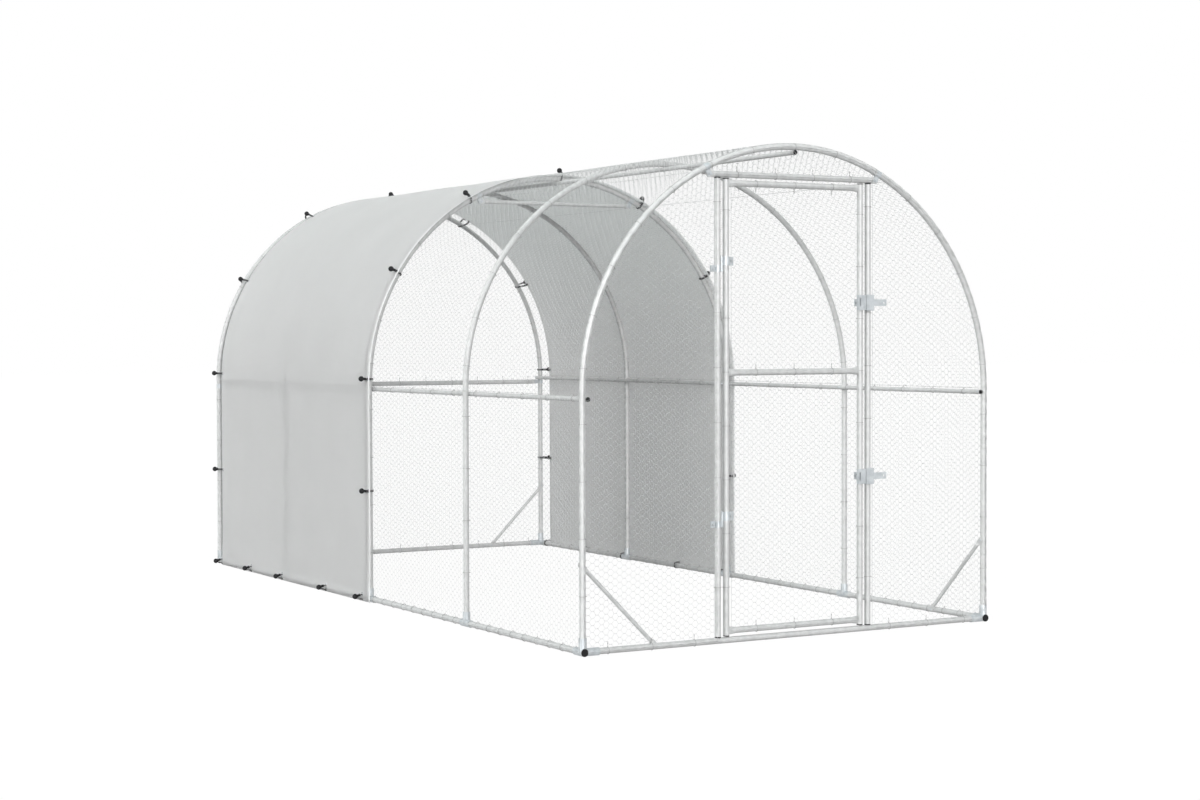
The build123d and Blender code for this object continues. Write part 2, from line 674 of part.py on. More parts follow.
# Base rails
rail_ends = [FRONT_Y - SLEEVE_R] + HOOP_YS[1:-1] + [REAR_Y + SLEEVE_R]
for side, word in ((-1, "left"), (1, "right")):
    runs = []
    for index in range(BAYS):
        start_gap = TOUCH_GAP if index > 0 else 0
        end_gap = TOUCH_GAP if index < BAYS - 1 else 0
        start = (side * HOOP_R, rail_ends[index] + start_gap, BASE_Z)
        end = (side * HOOP_R, rail_ends[index + 1] - end_gap, BASE_Z)
        runs.append((start, end))
    brace_name = "front_right" if side > 0 else "rear_left"
    rails = tubes(runs, TUBE_OD, [brace_rail_screw[brace_name]], SCREW_HOLE_R, BRACE_HOLE_DEPTH)
    save(rails, f"{word}_base_rails")

cross_end = HOOP_R - STUB_FLOOR - TOUCH_GAP
post_feet = [Plane(origin=(side * POST_X, FRONT_Y, BASE_Z), z_dir=UP) for side in SIDES]
front_run = [((-cross_end, FRONT_Y, BASE_Z), (cross_end, FRONT_Y, BASE_Z))]
drilled = tubes(front_run, TUBE_OD, [brace_rail_screw["front_left"]], SCREW_HOLE_R, BRACE_HOLE_DEPTH)
with BuildPart() as front_base_rail:
    add(drilled)
    with BuildSketch(*post_feet):
        Circle(PEG_R + PLUG_PLAY)
    extrude(amount=TUBE_OD, mode=Mode.SUBTRACT)
save(front_base_rail.part, "front_base_rail")

rear_run = [((-cross_end, REAR_Y, BASE_Z), (cross_end, REAR_Y, BASE_Z))]
rear_base_rail = tubes(rear_run, TUBE_OD, [brace_rail_screw["rear_right"]], SCREW_HOLE_R, BRACE_HOLE_DEPTH)
save(rear_base_rail, "rear_base_rail")

# Long rails and ridge
for side, word in ((-1, "left"), (1, "right")):
    run = [((side * MID_RAIL_X, -RAIL_END, MID_RAIL_Z), (side * MID_RAIL_X, RAIL_END, MID_RAIL_Z))]
    save(tubes(run, RAIL_OD, MID_SCREWS[side], SCREW_HOLE_R, RAIL_OD), f"{word}_mid_rail")
ridge_run = [((0, -RAIL_END, RIDGE_Z), (0, RAIL_END, RIDGE_Z))]
save(tubes(ridge_run, RAIL_OD, RIDGE_SCREWS, SCREW_HOLE_R, RAIL_OD), "ridge_pole")

# Header, collar tie and rear mid rail
header_bar = flat_ended_bars(
    [tie_frame(FRONT_Y, TIE_Z)], TUBE_OD, TIE_BOLT_X, HEADER_TAB_HALF,
    TAB_LENGTH, TAB_THICKNESS, BOLT_HOLE_R,
)
post_heads = [Plane(origin=(side * POST_X, FRONT_Y, TIE_Z), z_dir=(0, 0, -1)) for side in SIDES]
with BuildPart() as door_header:
    add(header_bar)
    with BuildSketch(*post_heads):
        Circle(PEG_R + PLUG_PLAY)
    extrude(amount=TUBE_OD, mode=Mode.SUBTRACT)
save(door_header.part, "door_header")
collar_tie = flat_ended_bars(
    [tie_frame(MID_Y, TIE_Z)], RAIL_OD, TIE_BOLT_X, COLLAR_TAB_HALF,
    TAB_LENGTH, TAB_THICKNESS, BOLT_HOLE_R,
)
save(collar_tie, "collar_tie")
rear_bolt_x = HOOP_R - TIE_BOLT_INSIDE
rear_mid_rail = flat_ended_bars(
    [tie_frame(REAR_Y, REAR_RAIL_Z)], TUBE_OD, rear_bolt_x, REAR_TAB_HALF,
    TAB_LENGTH, TAB_THICKNESS, BOLT_HOLE_R,
)
save(rear_mid_rail, "rear_mid_rail")

# Corner braces
corner_braces = flat_ended_bars(
    brace_frames, BRACE_OD, BRACE_REACH / sqrt(2), BRACE_TAB_HALF,
    BRACE_TAB_LENGTH, BRACE_TAB_THICKNESS, SCREW_HOLE_R,
)
save(corner_braces, "corner_braces")

# Door posts
for side, word in ((-1, "left"), (1, "right")):
    run = [((side * POST_X, FRONT_Y, POST_LOW), (side * POST_X, FRONT_Y, POST_HIGH))]
    save(tubes(run, TUBE_OD), f"{word}_door_post")

# Black plugs of the frame
corner_ends = [
    Plane(origin=(side * HOOP_R, y + out * SLEEVE_R, BASE_Z), z_dir=(0, out, 0))
    for side, y, out in CORNERS
]
rail_points = [(-MID_RAIL_X, MID_RAIL_Z), (MID_RAIL_X, MID_RAIL_Z), (0, RIDGE_Z)]
rail_plug_planes = [
    Plane(origin=(x, out * RAIL_END, z), z_dir=(0, out, 0)) for x, z in rail_points for out in SIDES
]
post_ends = [
    Plane(origin=(side * POST_X, FRONT_Y, z), z_dir=(0, 0, out))
    for side in SIDES
    for z, out in ((POST_LOW, -1), (POST_HIGH, 1))
]
corner_plugs = plugs(corner_ends, TUBE_BORE_R, SLEEVE_R - PLUG_PLAY, PLUG_DOME, taper=PLUG_TAPER)
rail_plugs = plugs(rail_plug_planes, RAIL_R - TUBE_WALL, RAIL_R, PLUG_DOME, RAIL_PLUG_SHANK, PLUG_TAPER)
post_plugs = plugs(post_ends, TUBE_BORE_R, TUBE_R, PLUG_RIM, peg=PEG_LENGTH)
with BuildPart() as frame_end_plugs:
    add(corner_plugs)
    add(rail_plugs)
    add(post_plugs)
save(frame_end_plugs.part, "frame_end_plugs")

# Strap clamps of the three ties
tie_ear_gap = TAB_THICKNESS + 2 * CLAMP_PLAY
tie_clamp_planes = []
for y in (FRONT_Y, MID_Y):
    for side in SIDES:
        out = Vector(side * cos(TIE_ANGLE), 0, sin(TIE_ANGLE))
        origin = Vector(0, y, SPRING_Z) + out * HOOP_R
        tie_clamp_planes.append(Plane(origin=origin, x_dir=out * -1, z_dir=(-out.Z, 0, out.X)))
for side in SIDES:
    origin = (side * HOOP_R, REAR_Y, REAR_RAIL_Z)
    tie_clamp_planes.append(Plane(origin=origin, x_dir=(-side, 0, 0), z_dir=UP))
tie_clamps = strap_clamps(
    tie_clamp_planes,
    TIE_CLAMP_WALL,
    TIE_CLAMP_WIDTH,
    tie_ear_gap,
    TIE_BOLT_INSIDE,
    TIE_BOLT_INSIDE + TIE_EAR_END_PAST_BOLT,
)
save(tie_clamps, "tie_clamps")

# Hinges
hinge_post_low = [level - HINGE_GAP / 2 - HINGE_POST_CLAMP_H for level in HINGE_LEVELS]
hinge_door_low = [level + HINGE_GAP / 2 for level in HINGE_LEVELS]
hinge_post_planes = [
    Plane(origin=(-POST_X, FRONT_Y, z + HINGE_POST_CLAMP_H / 2), x_dir=(-1, 0, 0), z_dir=UP)
    for z in hinge_post_low
]
hinge_door_planes = [
    Plane(origin=(-STILE_X, FRONT_Y, z + HINGE_DOOR_CLAMP_H / 2), x_dir=(1, 0, 0), z_dir=UP)
    for z in hinge_door_low
]
post_straps = strap_clamps(
    hinge_post_planes, CLAMP_WALL, HINGE_POST_CLAMP_H, CLAMP_EAR_GAP, CLAMP_EAR_BOLT, CLAMP_EAR_END
)
door_straps = strap_clamps(
    hinge_door_planes, CLAMP_WALL, HINGE_DOOR_CLAMP_H, CLAMP_EAR_GAP, CLAMP_EAR_BOLT, CLAMP_EAR_END
)
with BuildPart() as hinge_post_clamps:
    add(post_straps)
    with BuildSketch(*[Plane(origin=(HINGE_X, FRONT_Y, z), z_dir=UP) for z in hinge_post_low]):
        Circle(EYE_R)
    extrude(amount=HINGE_POST_CLAMP_H)
    with BuildSketch(*[Plane(origin=(HINGE_X, FRONT_Y, z), z_dir=UP) for z in hinge_post_low]):
        Circle(PIN_R)
    extrude(amount=HINGE_POST_CLAMP_H + HINGE_GAP + HINGE_DOOR_CLAMP_H + PIN_PAST_EYE)
save(hinge_post_clamps.part, "hinge_post_clamps")
with BuildPart() as hinge_door_clamps:
    add(door_straps)
    with BuildSketch(*[Plane(origin=(HINGE_X, FRONT_Y, z), z_dir=UP) for z in hinge_door_low]):
        Circle(EYE_R)
    extrude(amount=HINGE_DOOR_CLAMP_H)
    with BuildSketch(*[Plane(origin=(HINGE_X, FRONT_Y, z), z_dir=UP) for z in hinge_door_low]):
        Circle(PIN_R + PIN_PLAY)
    extrude(amount=HINGE_DOOR_CLAMP_H, mode=Mode.SUBTRACT)
save(hinge_door_clamps.part, "hinge_door_clamps")

# Latches
guides = latch_housings(POST_X, GUIDE_LEFT, GUIDE_RIGHT, GUIDE_LEFT, GUIDE_HEIGHT, 0.0, 0.0)
save(guides, "latch_post_brackets")
keepers = latch_housings(
    STILE_X, KEEPER_HOUSING_LEFT, KEEPER_RIGHT, KEEPER_LEFT, KEEPER_HEIGHT, KEEPER_WINDOW_HALF, KEEPER_FLANGE
)
save(keepers, "latch_keepers")
for level, word in zip(LATCH_LEVELS, ("lower", "upper")):
    save(latch_bar(level), f"{word}_latch_bolt")

# Screws and clamp bolts
rail_screws = screws(RIDGE_SCREWS + MID_SCREWS[-1] + MID_SCREWS[1], RAIL_SCREW_LENGTH)
brace_screw_planes = list(brace_leg_screw.values()) + list(brace_rail_screw.values())
brace_screws = screws(brace_screw_planes, BRACE_SCREW_LENGTH)
with BuildPart() as frame_screws:
    add(rail_screws)
    add(brace_screws)
save(frame_screws.part, "frame_screws")

guide_planes = [Plane(origin=(POST_X, FRONT_Y, z), x_dir=(0, 1, 0), z_dir=UP) for z in LATCH_LEVELS]
keeper_planes = [Plane(origin=(STILE_X, FRONT_Y, z), x_dir=(0, 1, 0), z_dir=UP) for z in LATCH_LEVELS]
tie_bolts = clamp_bolts(ear_planes(tie_clamp_planes, tie_ear_gap, TIE_BOLT_INSIDE), tie_ear_gap)
post_bolts = clamp_bolts(
    ear_planes(hinge_post_planes + guide_planes, CLAMP_EAR_GAP, CLAMP_EAR_BOLT), CLAMP_EAR_GAP
)
with BuildPart() as frame_clamp_bolts:
    add(tie_bolts)
    add(post_bolts)
save(frame_clamp_bolts.part, "frame_clamp_bolts")
door_clamp_bolts = clamp_bolts(
    ear_planes(hinge_door_planes + keeper_planes, CLAMP_EAR_GAP, CLAMP_EAR_BOLT), CLAMP_EAR_GAP
)
save(door_clamp_bolts, "door_clamp_bolts")

# Door frame
for side, word in ((-1, "hinge"), (1, "latch")):
    run = [((side * STILE_X, FRONT_Y, STILE_LOW), (side * STILE_X, FRONT_Y, STILE_HIGH))]
    save(tubes(run, TUBE_OD), f"door_{word}_stile")
door_rail_levels = {"top": DOOR_TOP_RAIL_Z, "mid": DOOR_MID_RAIL_Z, "bottom": DOOR_BOTTOM_RAIL_Z}
for word, z in door_rail_levels.items():
    save(door_rail(z), f"door_{word}_rail")
stile_ends = [
    Plane(origin=(side * STILE_X, FRONT_Y, z), z_dir=(0, 0, out))
    for side in SIDES
    for z, out in ((STILE_LOW, -1), (STILE_HIGH, 1))
]
save(plugs(stile_ends, TUBE_BORE_R, TUBE_R, PLUG_RIM), "door_end_plugs")

# Netting
net_half = REAR_Y + NET_EDGE_PAST_HOOP
wall_window = (-net_half, net_half, BASE_Z, SPRING_Z - NET_GAP)
for side, word in ((-1, "left"), (1, "right")):
    wall = Plane(origin=(side * (HOOP_R + NET_OFFSET), 0, 0), x_dir=(0, side, 0), z_dir=(side, 0, 0))
    save(hex_net([wall], [wall_window], side * NET_WALL_SHIFT_Y, NET_WALL_SHIFT_Z), f"{word}_wall_net")

strip_half = ROOF_APOTHEM * tan(STRIP_TURN / 2) - NET_GAP
strip_window = (-net_half, net_half, -strip_half, strip_half)
per_width = ROOF_STRIPS // ROOF_WIDTHS
for index, word in enumerate(("right", "top", "left")):
    strip_planes = []
    for strip in range(index * per_width, (index + 1) * per_width):
        angle = strip * STRIP_TURN + STRIP_TURN / 2
        out = Vector(cos(angle), 0, sin(angle))
        middle = Vector(0, 0, SPRING_Z) + out * ROOF_APOTHEM
        strip_planes.append(Plane(origin=middle, x_dir=(0, 1, 0), z_dir=out))
    save(hex_net(strip_planes, [strip_window], NET_ROOF_SHIFT_Y), f"{word}_roof_net")

plug_notch = SLEEVE_R + NET_GAP
rear_face = Plane(origin=(0, REAR_Y + NET_OFFSET, 0), x_dir=(-1, 0, 0), z_dir=(0, 1, 0))
rear_window = (-HOOP_R, HOOP_R, BASE_Z, HEIGHT)
save(hex_net([rear_face], [rear_window], under_arch=True, corner_notch=plug_notch), "rear_net")
front_face = Plane(origin=(0, FRONT_Y - NET_OFFSET, 0), x_dir=(1, 0, 0), z_dir=(0, -1, 0))
front_windows = [
    (-HOOP_R, -NET_DOOR_EDGE, BASE_Z, HEIGHT),
    (NET_DOOR_EDGE, HOOP_R, BASE_Z, HEIGHT),
    (-NET_DOOR_EDGE + NET_GAP, NET_DOOR_EDGE - NET_GAP, TIE_Z, HEIGHT),
]
save(hex_net([front_face], front_windows, under_arch=True, corner_notch=plug_notch), "front_net")
door_face = Plane(origin=(0, FRONT_Y - TUBE_R - NET_GAP, 0), x_dir=(1, 0, 0), z_dir=(0, -1, 0))
door_net_half = STILE_X - TUBE_R - NET_STILE_GAP
door_window = (-door_net_half, door_net_half, DOOR_BOTTOM_RAIL_Z, DOOR_TOP_RAIL_Z)
save(hex_net([door_face], [door_window]), "door_net")

# Ball bungees: loop corners in the frame of each kind
mid_ball = (MID_BALL_BEHIND, BALL_OUT)
mid_hook = -COVER_FRONT_OVERHANG - CORD_PAST_EDGE
mid_last = (CORD_IN, CORD_IN)
mid_points = [
    (mid_ball[0] - CORD_R, BALL_OUT),
    (mid_ball[0] - 2 * BALL_R, CORD_OUT),
    (mid_hook, CORD_OUT),
    (mid_hook, CORD_OUT - CORD_IN),
    (CORD_TUCK - CORD_IN, -CORD_IN),
    (CORD_IN, -CORD_IN),
    mid_last,
    (mid_ball[0] + CORD_R, BALL_OUT),
]
mid_slope = (mid_ball[0] + CORD_R - mid_last[0]) / (BALL_OUT - CORD_IN)
mid_eyelet = mid_last[0] + mid_slope * (COVER_OUT - CORD_IN)
rear_points = [
    (-REAR_BALL_AHEAD - CORD_R, BALL_OUT),
    (-REAR_EYELET_AHEAD, CORD_OUT),
    (-REAR_EYELET_AHEAD, CORD_OUT - CORD_IN),
    (CORD_TUCK - CORD_IN, -CORD_IN),
    (CORD_IN, -CORD_IN),
    (CORD_IN, CORD_OUT),
    (CORD_R - REAR_BALL_AHEAD, BALL_OUT),
]
rail_points_2d = [
    (BALL_OUT, RAIL_BALL_Z + CORD_R),
    (CORD_OUT, RAIL_EYELET_Z),
    (CORD_TUCK, RAIL_EYELET_Z),
    (-CORD_IN, BASE_Z + CORD_IN),
    (-CORD_IN, CORD_UNDER_Z),
    (CORD_OUT, CORD_UNDER_Z),
    (BALL_OUT, RAIL_BALL_Z - CORD_R),
]
half_run = SPRING_Z + HOOP_R * pi / 2
bungee_runs = [(side, BUNGEE_PITCH * (step + 1)) for side in SIDES for step in range(BUNGEES_ON_SIDE)]
bungee_runs.append((1, half_run - BUNGEE_RIDGE_SHIFT))
mid_frames = [bungee_frame(MID_Y, side, run) for side, run in bungee_runs]
rear_frames = [bungee_frame(REAR_Y, side, run) for side, run in bungee_runs]
rail_bungee_ys = []
for y in HOOP_YS[BAYS // 2:-1]:
    rail_bungee_ys.append(y + RAIL_BUNGEE_FROM_HOOP)
    rail_bungee_ys.append(y + BAY / 2)
rail_bungee_ys.append(REAR_Y - RAIL_BUNGEE_FROM_HOOP)
rail_frames = [rail_frame(y, side) for y in rail_bungee_ys for side in SIDES]
bungees = [
    (mid_frames, mid_points, mid_ball),
    (rear_frames, rear_points, (-REAR_BALL_AHEAD, BALL_OUT)),
    (rail_frames, rail_points_2d, (BALL_OUT, RAIL_BALL_Z)),
]
cord_sets = [bungee_cords(frames, points, ball) for frames, points, ball in bungees]
with BuildPart() as bungee_loops:
    for cords in cord_sets:
        add(cords)
save(bungee_loops.part, "bungee_loops")
with BuildPart() as bungee_balls:
    for frames, points, ball in bungees:
        with Locations(*local_points(frames, *ball)):
            Sphere(BALL_R)
save(bungee_balls.part, "bungee_balls")

# Eyelets and rain cover
eyelet_planes = []
for frames, x in ((mid_frames, mid_eyelet), (rear_frames, -REAR_EYELET_AHEAD)):
    for frame in frames:
        origin = frame.from_local_coords(Vector(x, COVER_OUT, 0))
        eyelet_planes.append(Plane(origin=origin, z_dir=frame.y_dir))
for frame in rail_frames:
    origin = frame.from_local_coords(Vector(COVER_OUT, RAIL_EYELET_Z, 0))
    eyelet_planes.append(Plane(origin=origin, z_dir=frame.x_dir))
with BuildPart() as cover_eyelets:
    with BuildSketch(*[plane.offset(EYELET_SEAT) for plane in eyelet_planes]):
        Circle(EYELET_R)
        Circle(EYELET_HOLE_R, mode=Mode.SUBTRACT)
    extrude(amount=EYELET_THICKNESS)
save(cover_eyelets.part, "cover_eyelets")
with BuildPart() as rain_cover:
    with BuildSketch(Plane(origin=(0, COVER_REAR_Y, 0), x_dir=(1, 0, 0), z_dir=(0, -1, 0))):
        for radius, mode in ((COVER_R, Mode.ADD), (COVER_INNER_R, Mode.SUBTRACT)):
            with Locations((0, SPRING_Z)):
                Circle(radius, mode=mode)
            limits(-radius, radius, COVER_HEM_Z, SPRING_Z, mode)
        limits(-COVER_R, COVER_R, COVER_HEM_Z, SPRING_Z + COVER_R, Mode.INTERSECT)
    extrude(amount=COVER_REAR_Y - COVER_FRONT_Y)
    with BuildSketch(*[plane.offset(-EYELET_HOLE_R) for plane in eyelet_planes]):
        Circle(EYELET_HOLE_R)
    extrude(amount=2 * EYELET_HOLE_R, mode=Mode.SUBTRACT)
save(rain_cover.part, "rain_cover")
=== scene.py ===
"""Looks of the chicken coop: netting, rain cover, bungees, wire ties, finishes, light and camera"""
import json
from math import cos, pi, radians, sin

import bpy
import numpy as np
from mathutils import Matrix, Vector


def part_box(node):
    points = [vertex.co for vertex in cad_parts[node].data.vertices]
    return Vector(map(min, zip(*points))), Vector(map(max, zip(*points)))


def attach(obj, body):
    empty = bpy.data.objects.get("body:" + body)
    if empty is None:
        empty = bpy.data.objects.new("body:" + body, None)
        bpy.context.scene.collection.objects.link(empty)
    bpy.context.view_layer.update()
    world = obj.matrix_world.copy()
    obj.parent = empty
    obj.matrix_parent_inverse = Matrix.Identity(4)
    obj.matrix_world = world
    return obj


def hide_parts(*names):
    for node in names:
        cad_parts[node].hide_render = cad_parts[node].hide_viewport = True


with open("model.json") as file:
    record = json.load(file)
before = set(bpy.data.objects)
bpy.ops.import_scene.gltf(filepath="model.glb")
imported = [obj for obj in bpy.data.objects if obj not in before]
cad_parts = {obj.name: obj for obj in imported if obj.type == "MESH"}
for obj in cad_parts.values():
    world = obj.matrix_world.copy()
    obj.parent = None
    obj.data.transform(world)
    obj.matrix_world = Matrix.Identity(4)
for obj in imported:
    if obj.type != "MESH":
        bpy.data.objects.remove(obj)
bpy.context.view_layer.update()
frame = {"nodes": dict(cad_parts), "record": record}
nodes = frame["nodes"]


def middle(node):
    """Middle of a node's box"""
    low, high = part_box(node)
    return (low + high) / 2


# Sizes read from the frame, in metres
HOOPS = 5
MID_HOOP = HOOPS // 2
LEG_LOW, LEG_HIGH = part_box("hoop_1_left_leg")
TUBE_R = (LEG_HIGH.x - LEG_LOW.x) / 2
HOOP_R = -middle("hoop_1_left_leg").x
HOOP_YS = [middle(f"hoop_{number}_left_leg").y for number in range(1, HOOPS + 1)]
FRONT_Y = HOOP_YS[0]
MID_Y = HOOP_YS[MID_HOOP]
REAR_Y = HOOP_YS[-1]
BAY = HOOP_YS[1] - HOOP_YS[0]
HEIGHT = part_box("hoop_1_bows")[1].z
SPRING_Z = HEIGHT - TUBE_R - HOOP_R
BASE_Z = middle("front_base_rail").z
SLEEVE_R = BASE_Z
TIE_Z = middle("door_header").z
POST_X = middle("right_door_post").x
STILE_X = middle("door_latch_stile").x
QUARTER = HOOP_R * pi / 2
HALF_RUN = QUARTER + SPRING_Z

# Directions
UP = np.array((0.0, 0.0, 1.0))
REARWARD = np.array((0.0, 1.0, 0.0))
SIDES = (-1, 1)

# Fineness of curves and turned shapes
CURVE_BEVEL = 1
CURVE_STEPS = 4
CURVE_ORDER = 3
TURN_STEPS = 24

# Netting
CELL_ACROSS = 0.0265
TWIST = 0.0115
SLANT_ALONG = 0.0088
NET_PITCH = 2 * (TWIST + SLANT_ALONG)
NET_JITTER = 0.0024
SLANT_R = 0.00042
TWIST_R = 0.00055
SELVEDGE_R = 0.0009
NET_OFF_TUBE = 0.0012
NET_PAST_HOOP = 0.004
NET_PAST_POST = 0.012
FOOT_FLARE_Z = 0.20
EDGE_STEP = 0.05
ARCH_STEPS = 48
CUT_STEPS = 10

# A direction that no wire follows, to set up the sides of the wires
OFF_AXIS = (0.37, 0.61, 0.70)

# Unevenness of the sag: each wave has a share, radians per metre of run and along the coop, and a start
NET_SAG = 0.003
SAG_MEAN = 0.6
SAG_WAVES = (
    (0.25, 2.3, 1.7, 0.0),
    (0.15, 5.1, -3.3, 0.8),
)

# Scatter of the netting's joints: factors of a sine hash and its start for each direction
SHAKE_ROW = 12.9898
SHAKE_COLUMN = 78.233
SHAKE_GAIN = 43758.5453
SHAKE_U = 0.0
SHAKE_V = 1.7

# Rain cover
COVER_LIFT = 0.0034
COVER_THICKNESS = 0.0007
COVER_STEP = 0.016
HEM_WIDTH = 0.038
HEM_LIFT = 0.0007
HEM_FOLD = 0.004
HEM_DROP = 0.006
CLOTH_DEPTH = 0.0145
HEM_DEPTH = 0.0075
EDGE_LAYER = "to_edge"

# Ripple of the cover, with radians per metre of run and along, and its puckers round the eyelets
RIPPLE = 0.0006
RIPPLE_LONG = (3.1, 4.0)
RIPPLE_SHORT = (-1.1, 6.3)
PUCKER = 0.0016
PUCKER_REACH = 0.055
PUCKER_FOLDS = 5

# Eyelets
EYELET_R = 0.010
EYELET_HOLE_R = 0.006
EYELET_UNDER = 0.0010
EYELET_EDGE = 0.0006
EYELET_RISE = 0.0011
EYELET_SHOULDER = 0.0015
EYELET_SHOULDER_RISE = 0.0010
EYELET_ROLL = 0.0004

# Ball bungees
BALL_R = 0.0125
BALL_ROWS = 15
SEAM_DEPTH = 0.0003
SEAM_TURN = 0.05
NECK_R = 0.0062
NECK_LENGTH = 0.013
NECK_EDGE = 0.0008
CORD_R = 0.0024
STRAND_SPLIT = 0.0026
BUNGEE_PITCH = 0.516
BUNGEES_ON_SIDE = 4
RIDGE_SHIFT = 0.020
MID_BALL_BEHIND = 0.002
MID_EYELET_AHEAD = 0.023
REAR_BALL_AHEAD = 0.030
REAR_EYELET_AHEAD = 0.100
RAIL_EYELET_Z = 0.034
RAIL_BALL_Z = 0.022
RAIL_BUNGEE_FROM_HOOP = 0.062
RAIL_BALL_OFF = 0.010
RAIL_LEAN = 0.015

# Wire ties
TIE_WIRE_R = 0.0008
TIE_OFF_TUBE = 2.2 * TIE_WIRE_R
TIE_SPLIT = 1.2 * TIE_WIRE_R
TIE_OPEN = 0.15
TIE_POINTS = 11
TIE_TAIL = 0.020
TIE_TAIL_STEP = 0.004
SHORT_TAIL = 0.006
HOOP_TIE_STEP = 0.21
SIDE_TIE_STEP = 0.105
CROSS_TIE_STEP = 0.17
LEG_TIE_LOW = 0.12
DOOR_TIE_INSET = 0.05
HINGE_CLEAR = 0.085

# Floor and surroundings
FLOOR_HALF = 60.0
FLOOR_DROP = 0.0004
FLOOR_GREY = (0.12, 0.12, 0.12, 1.0)
FLOOR_GLOW = 1.20
FLOOR_WHITE_SHARE = 0.82
WORLD_LIGHT = 0.66
WORLD_TINT = (0.985, 1.0, 0.995, 1.0)
WHITE = (1.0, 1.0, 1.0, 1.0)

# Camera, fitted to the feet and hoops in the photo
CAMERA_AT = Vector((-5.04646, -9.13726, 1.22748))
CAMERA_AZIMUTH = radians(-30.0642)
CAMERA_ELEVATION = radians(1.7008)
CAMERA_ROLL = radians(-0.1590)
CAMERA_LENS = 64.631
CAMERA_FAR = 200.0
SENSOR = 36.0


# Mesh and curve helpers

def add_mesh(name, points, face_groups, finish):
    """Mesh object from a point array and arrays of faces, one array for each corner count"""
    points = np.asarray(points, np.float32).reshape(-1, 3)
    corners = np.concatenate([np.asarray(group).ravel() for group in face_groups]).astype(np.int32)
    widths = np.concatenate([np.full(len(group), np.shape(group)[1]) for group in face_groups])
    starts = (np.cumsum(widths) - widths).astype(np.int32)
    mesh = bpy.data.meshes.new(name)
    mesh.vertices.add(len(points))
    mesh.vertices.foreach_set("co", points.ravel())
    mesh.loops.add(len(corners))
    mesh.loops.foreach_set("vertex_index", corners)
    mesh.polygons.add(len(widths))
    mesh.polygons.foreach_set("loop_start", starts)
    mesh.update(calc_edges=True)
    mesh.validate()
    mesh.materials.append(finish)
    piece = bpy.data.objects.new(name, mesh)
    bpy.context.scene.collection.objects.link(piece)
    return piece


def smooth_faces(piece):
    """Shade every face of a piece smooth"""
    piece.data.polygons.foreach_set("use_smooth", np.ones(len(piece.data.polygons), bool))


def add_curve(name, paths, radius, finish, smooth=False):
    """Round wire along each path, straight between the points or smooth near them"""
    curve = bpy.data.curves.new(name, "CURVE")
    curve.dimensions = "3D"
    curve.bevel_depth = radius
    curve.bevel_resolution = CURVE_BEVEL
    curve.use_fill_caps = True
    curve.resolution_u = CURVE_STEPS
    for path in paths:
        spline = curve.splines.new("NURBS" if smooth else "POLY")
        spline.points.add(len(path) - 1)
        spline.points.foreach_set("co", np.c_[np.asarray(path), np.ones(len(path))].ravel())
        if smooth:
            spline.order_u = CURVE_ORDER
            spline.use_endpoint_u = True
    curve.materials.append(finish)
    piece = bpy.data.objects.new(name, curve)
    bpy.context.scene.collection.objects.link(piece)
    return piece


def settle(piece, body, slot, *replaced):
    """Let a piece ride on its body and hide the nodes it stands for"""
    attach(piece, body)
    if replaced:
        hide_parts(*replaced)


def prisms(starts, ends, radius):
    """Closed three-sided wires between pairs of points, each with its radius"""
    along = ends - starts
    along /= np.linalg.norm(along, axis=1)[:, None]
    side = np.cross(along, OFF_AXIS)
    side /= np.linalg.norm(side, axis=1)[:, None]
    other = np.cross(along, side)
    turns = np.arange(3) * 2 * pi / 3
    ring = np.cos(turns)[:, None] * side[:, None] + np.sin(turns)[:, None] * other[:, None]
    ring = ring * radius[:, None, None]
    points = np.concatenate([starts[:, None] + ring, ends[:, None] + ring], axis=1)
    first = 6 * np.arange(len(starts))[:, None, None]
    sides = first + np.array([[0, 1, 4, 3], [1, 2, 5, 4], [2, 0, 3, 5]])
    caps = first + np.array([[2, 1, 0], [3, 4, 5]])
    return points, [sides.reshape(-1, 4), caps.reshape(-1, 3)]


def revolved(profile, steps):
    """Points and faces of a profile of (radius, height) pairs turned about Z"""
    turns = np.arange(steps) * 2 * pi / steps
    profile = np.asarray(profile)
    points = [np.outer(np.cos(turns), profile[:, 0]), np.outer(np.sin(turns), profile[:, 0])]
    points.append(np.tile(profile[:, 1], (steps, 1)))
    points = np.stack(points, axis=2)
    rows = len(profile)
    step, row = np.meshgrid(np.arange(steps), np.arange(rows - 1), indexing="ij")
    here = step * rows + row
    after = (step + 1) % steps * rows + row
    quads = np.stack([here, after, after + 1, here + 1], axis=2)
    return points.reshape(-1, 3), quads.reshape(-1, 4)


def repeated(points, faces, places):
    """One shape at many places: each place is an origin and three axes"""
    all_points = []
    all_faces = []
    for index, (origin, x_axis, y_axis, z_axis) in enumerate(places):
        axes = np.array([x_axis, y_axis, z_axis])
        all_points.append(points @ axes + origin)
        all_faces.append(faces + index * len(points))
    return np.concatenate(all_points), np.concatenate(all_faces)


# Finishes

def new_finish(name, colour, roughness, metallic=0.0, sheen=0.5):
    """Principled material with its uniform values set on the sockets"""
    finish = bpy.data.materials.new(name)
    finish.use_nodes = True
    shader = finish.node_tree.nodes["Principled BSDF"]
    shader.inputs["Base Color"].default_value = (*colour, 1.0)
    shader.inputs["Roughness"].default_value = roughness
    shader.inputs["Metallic"].default_value = metallic
    shader.inputs["Specular IOR Level"].default_value = sheen
    return finish, finish.node_tree, shader


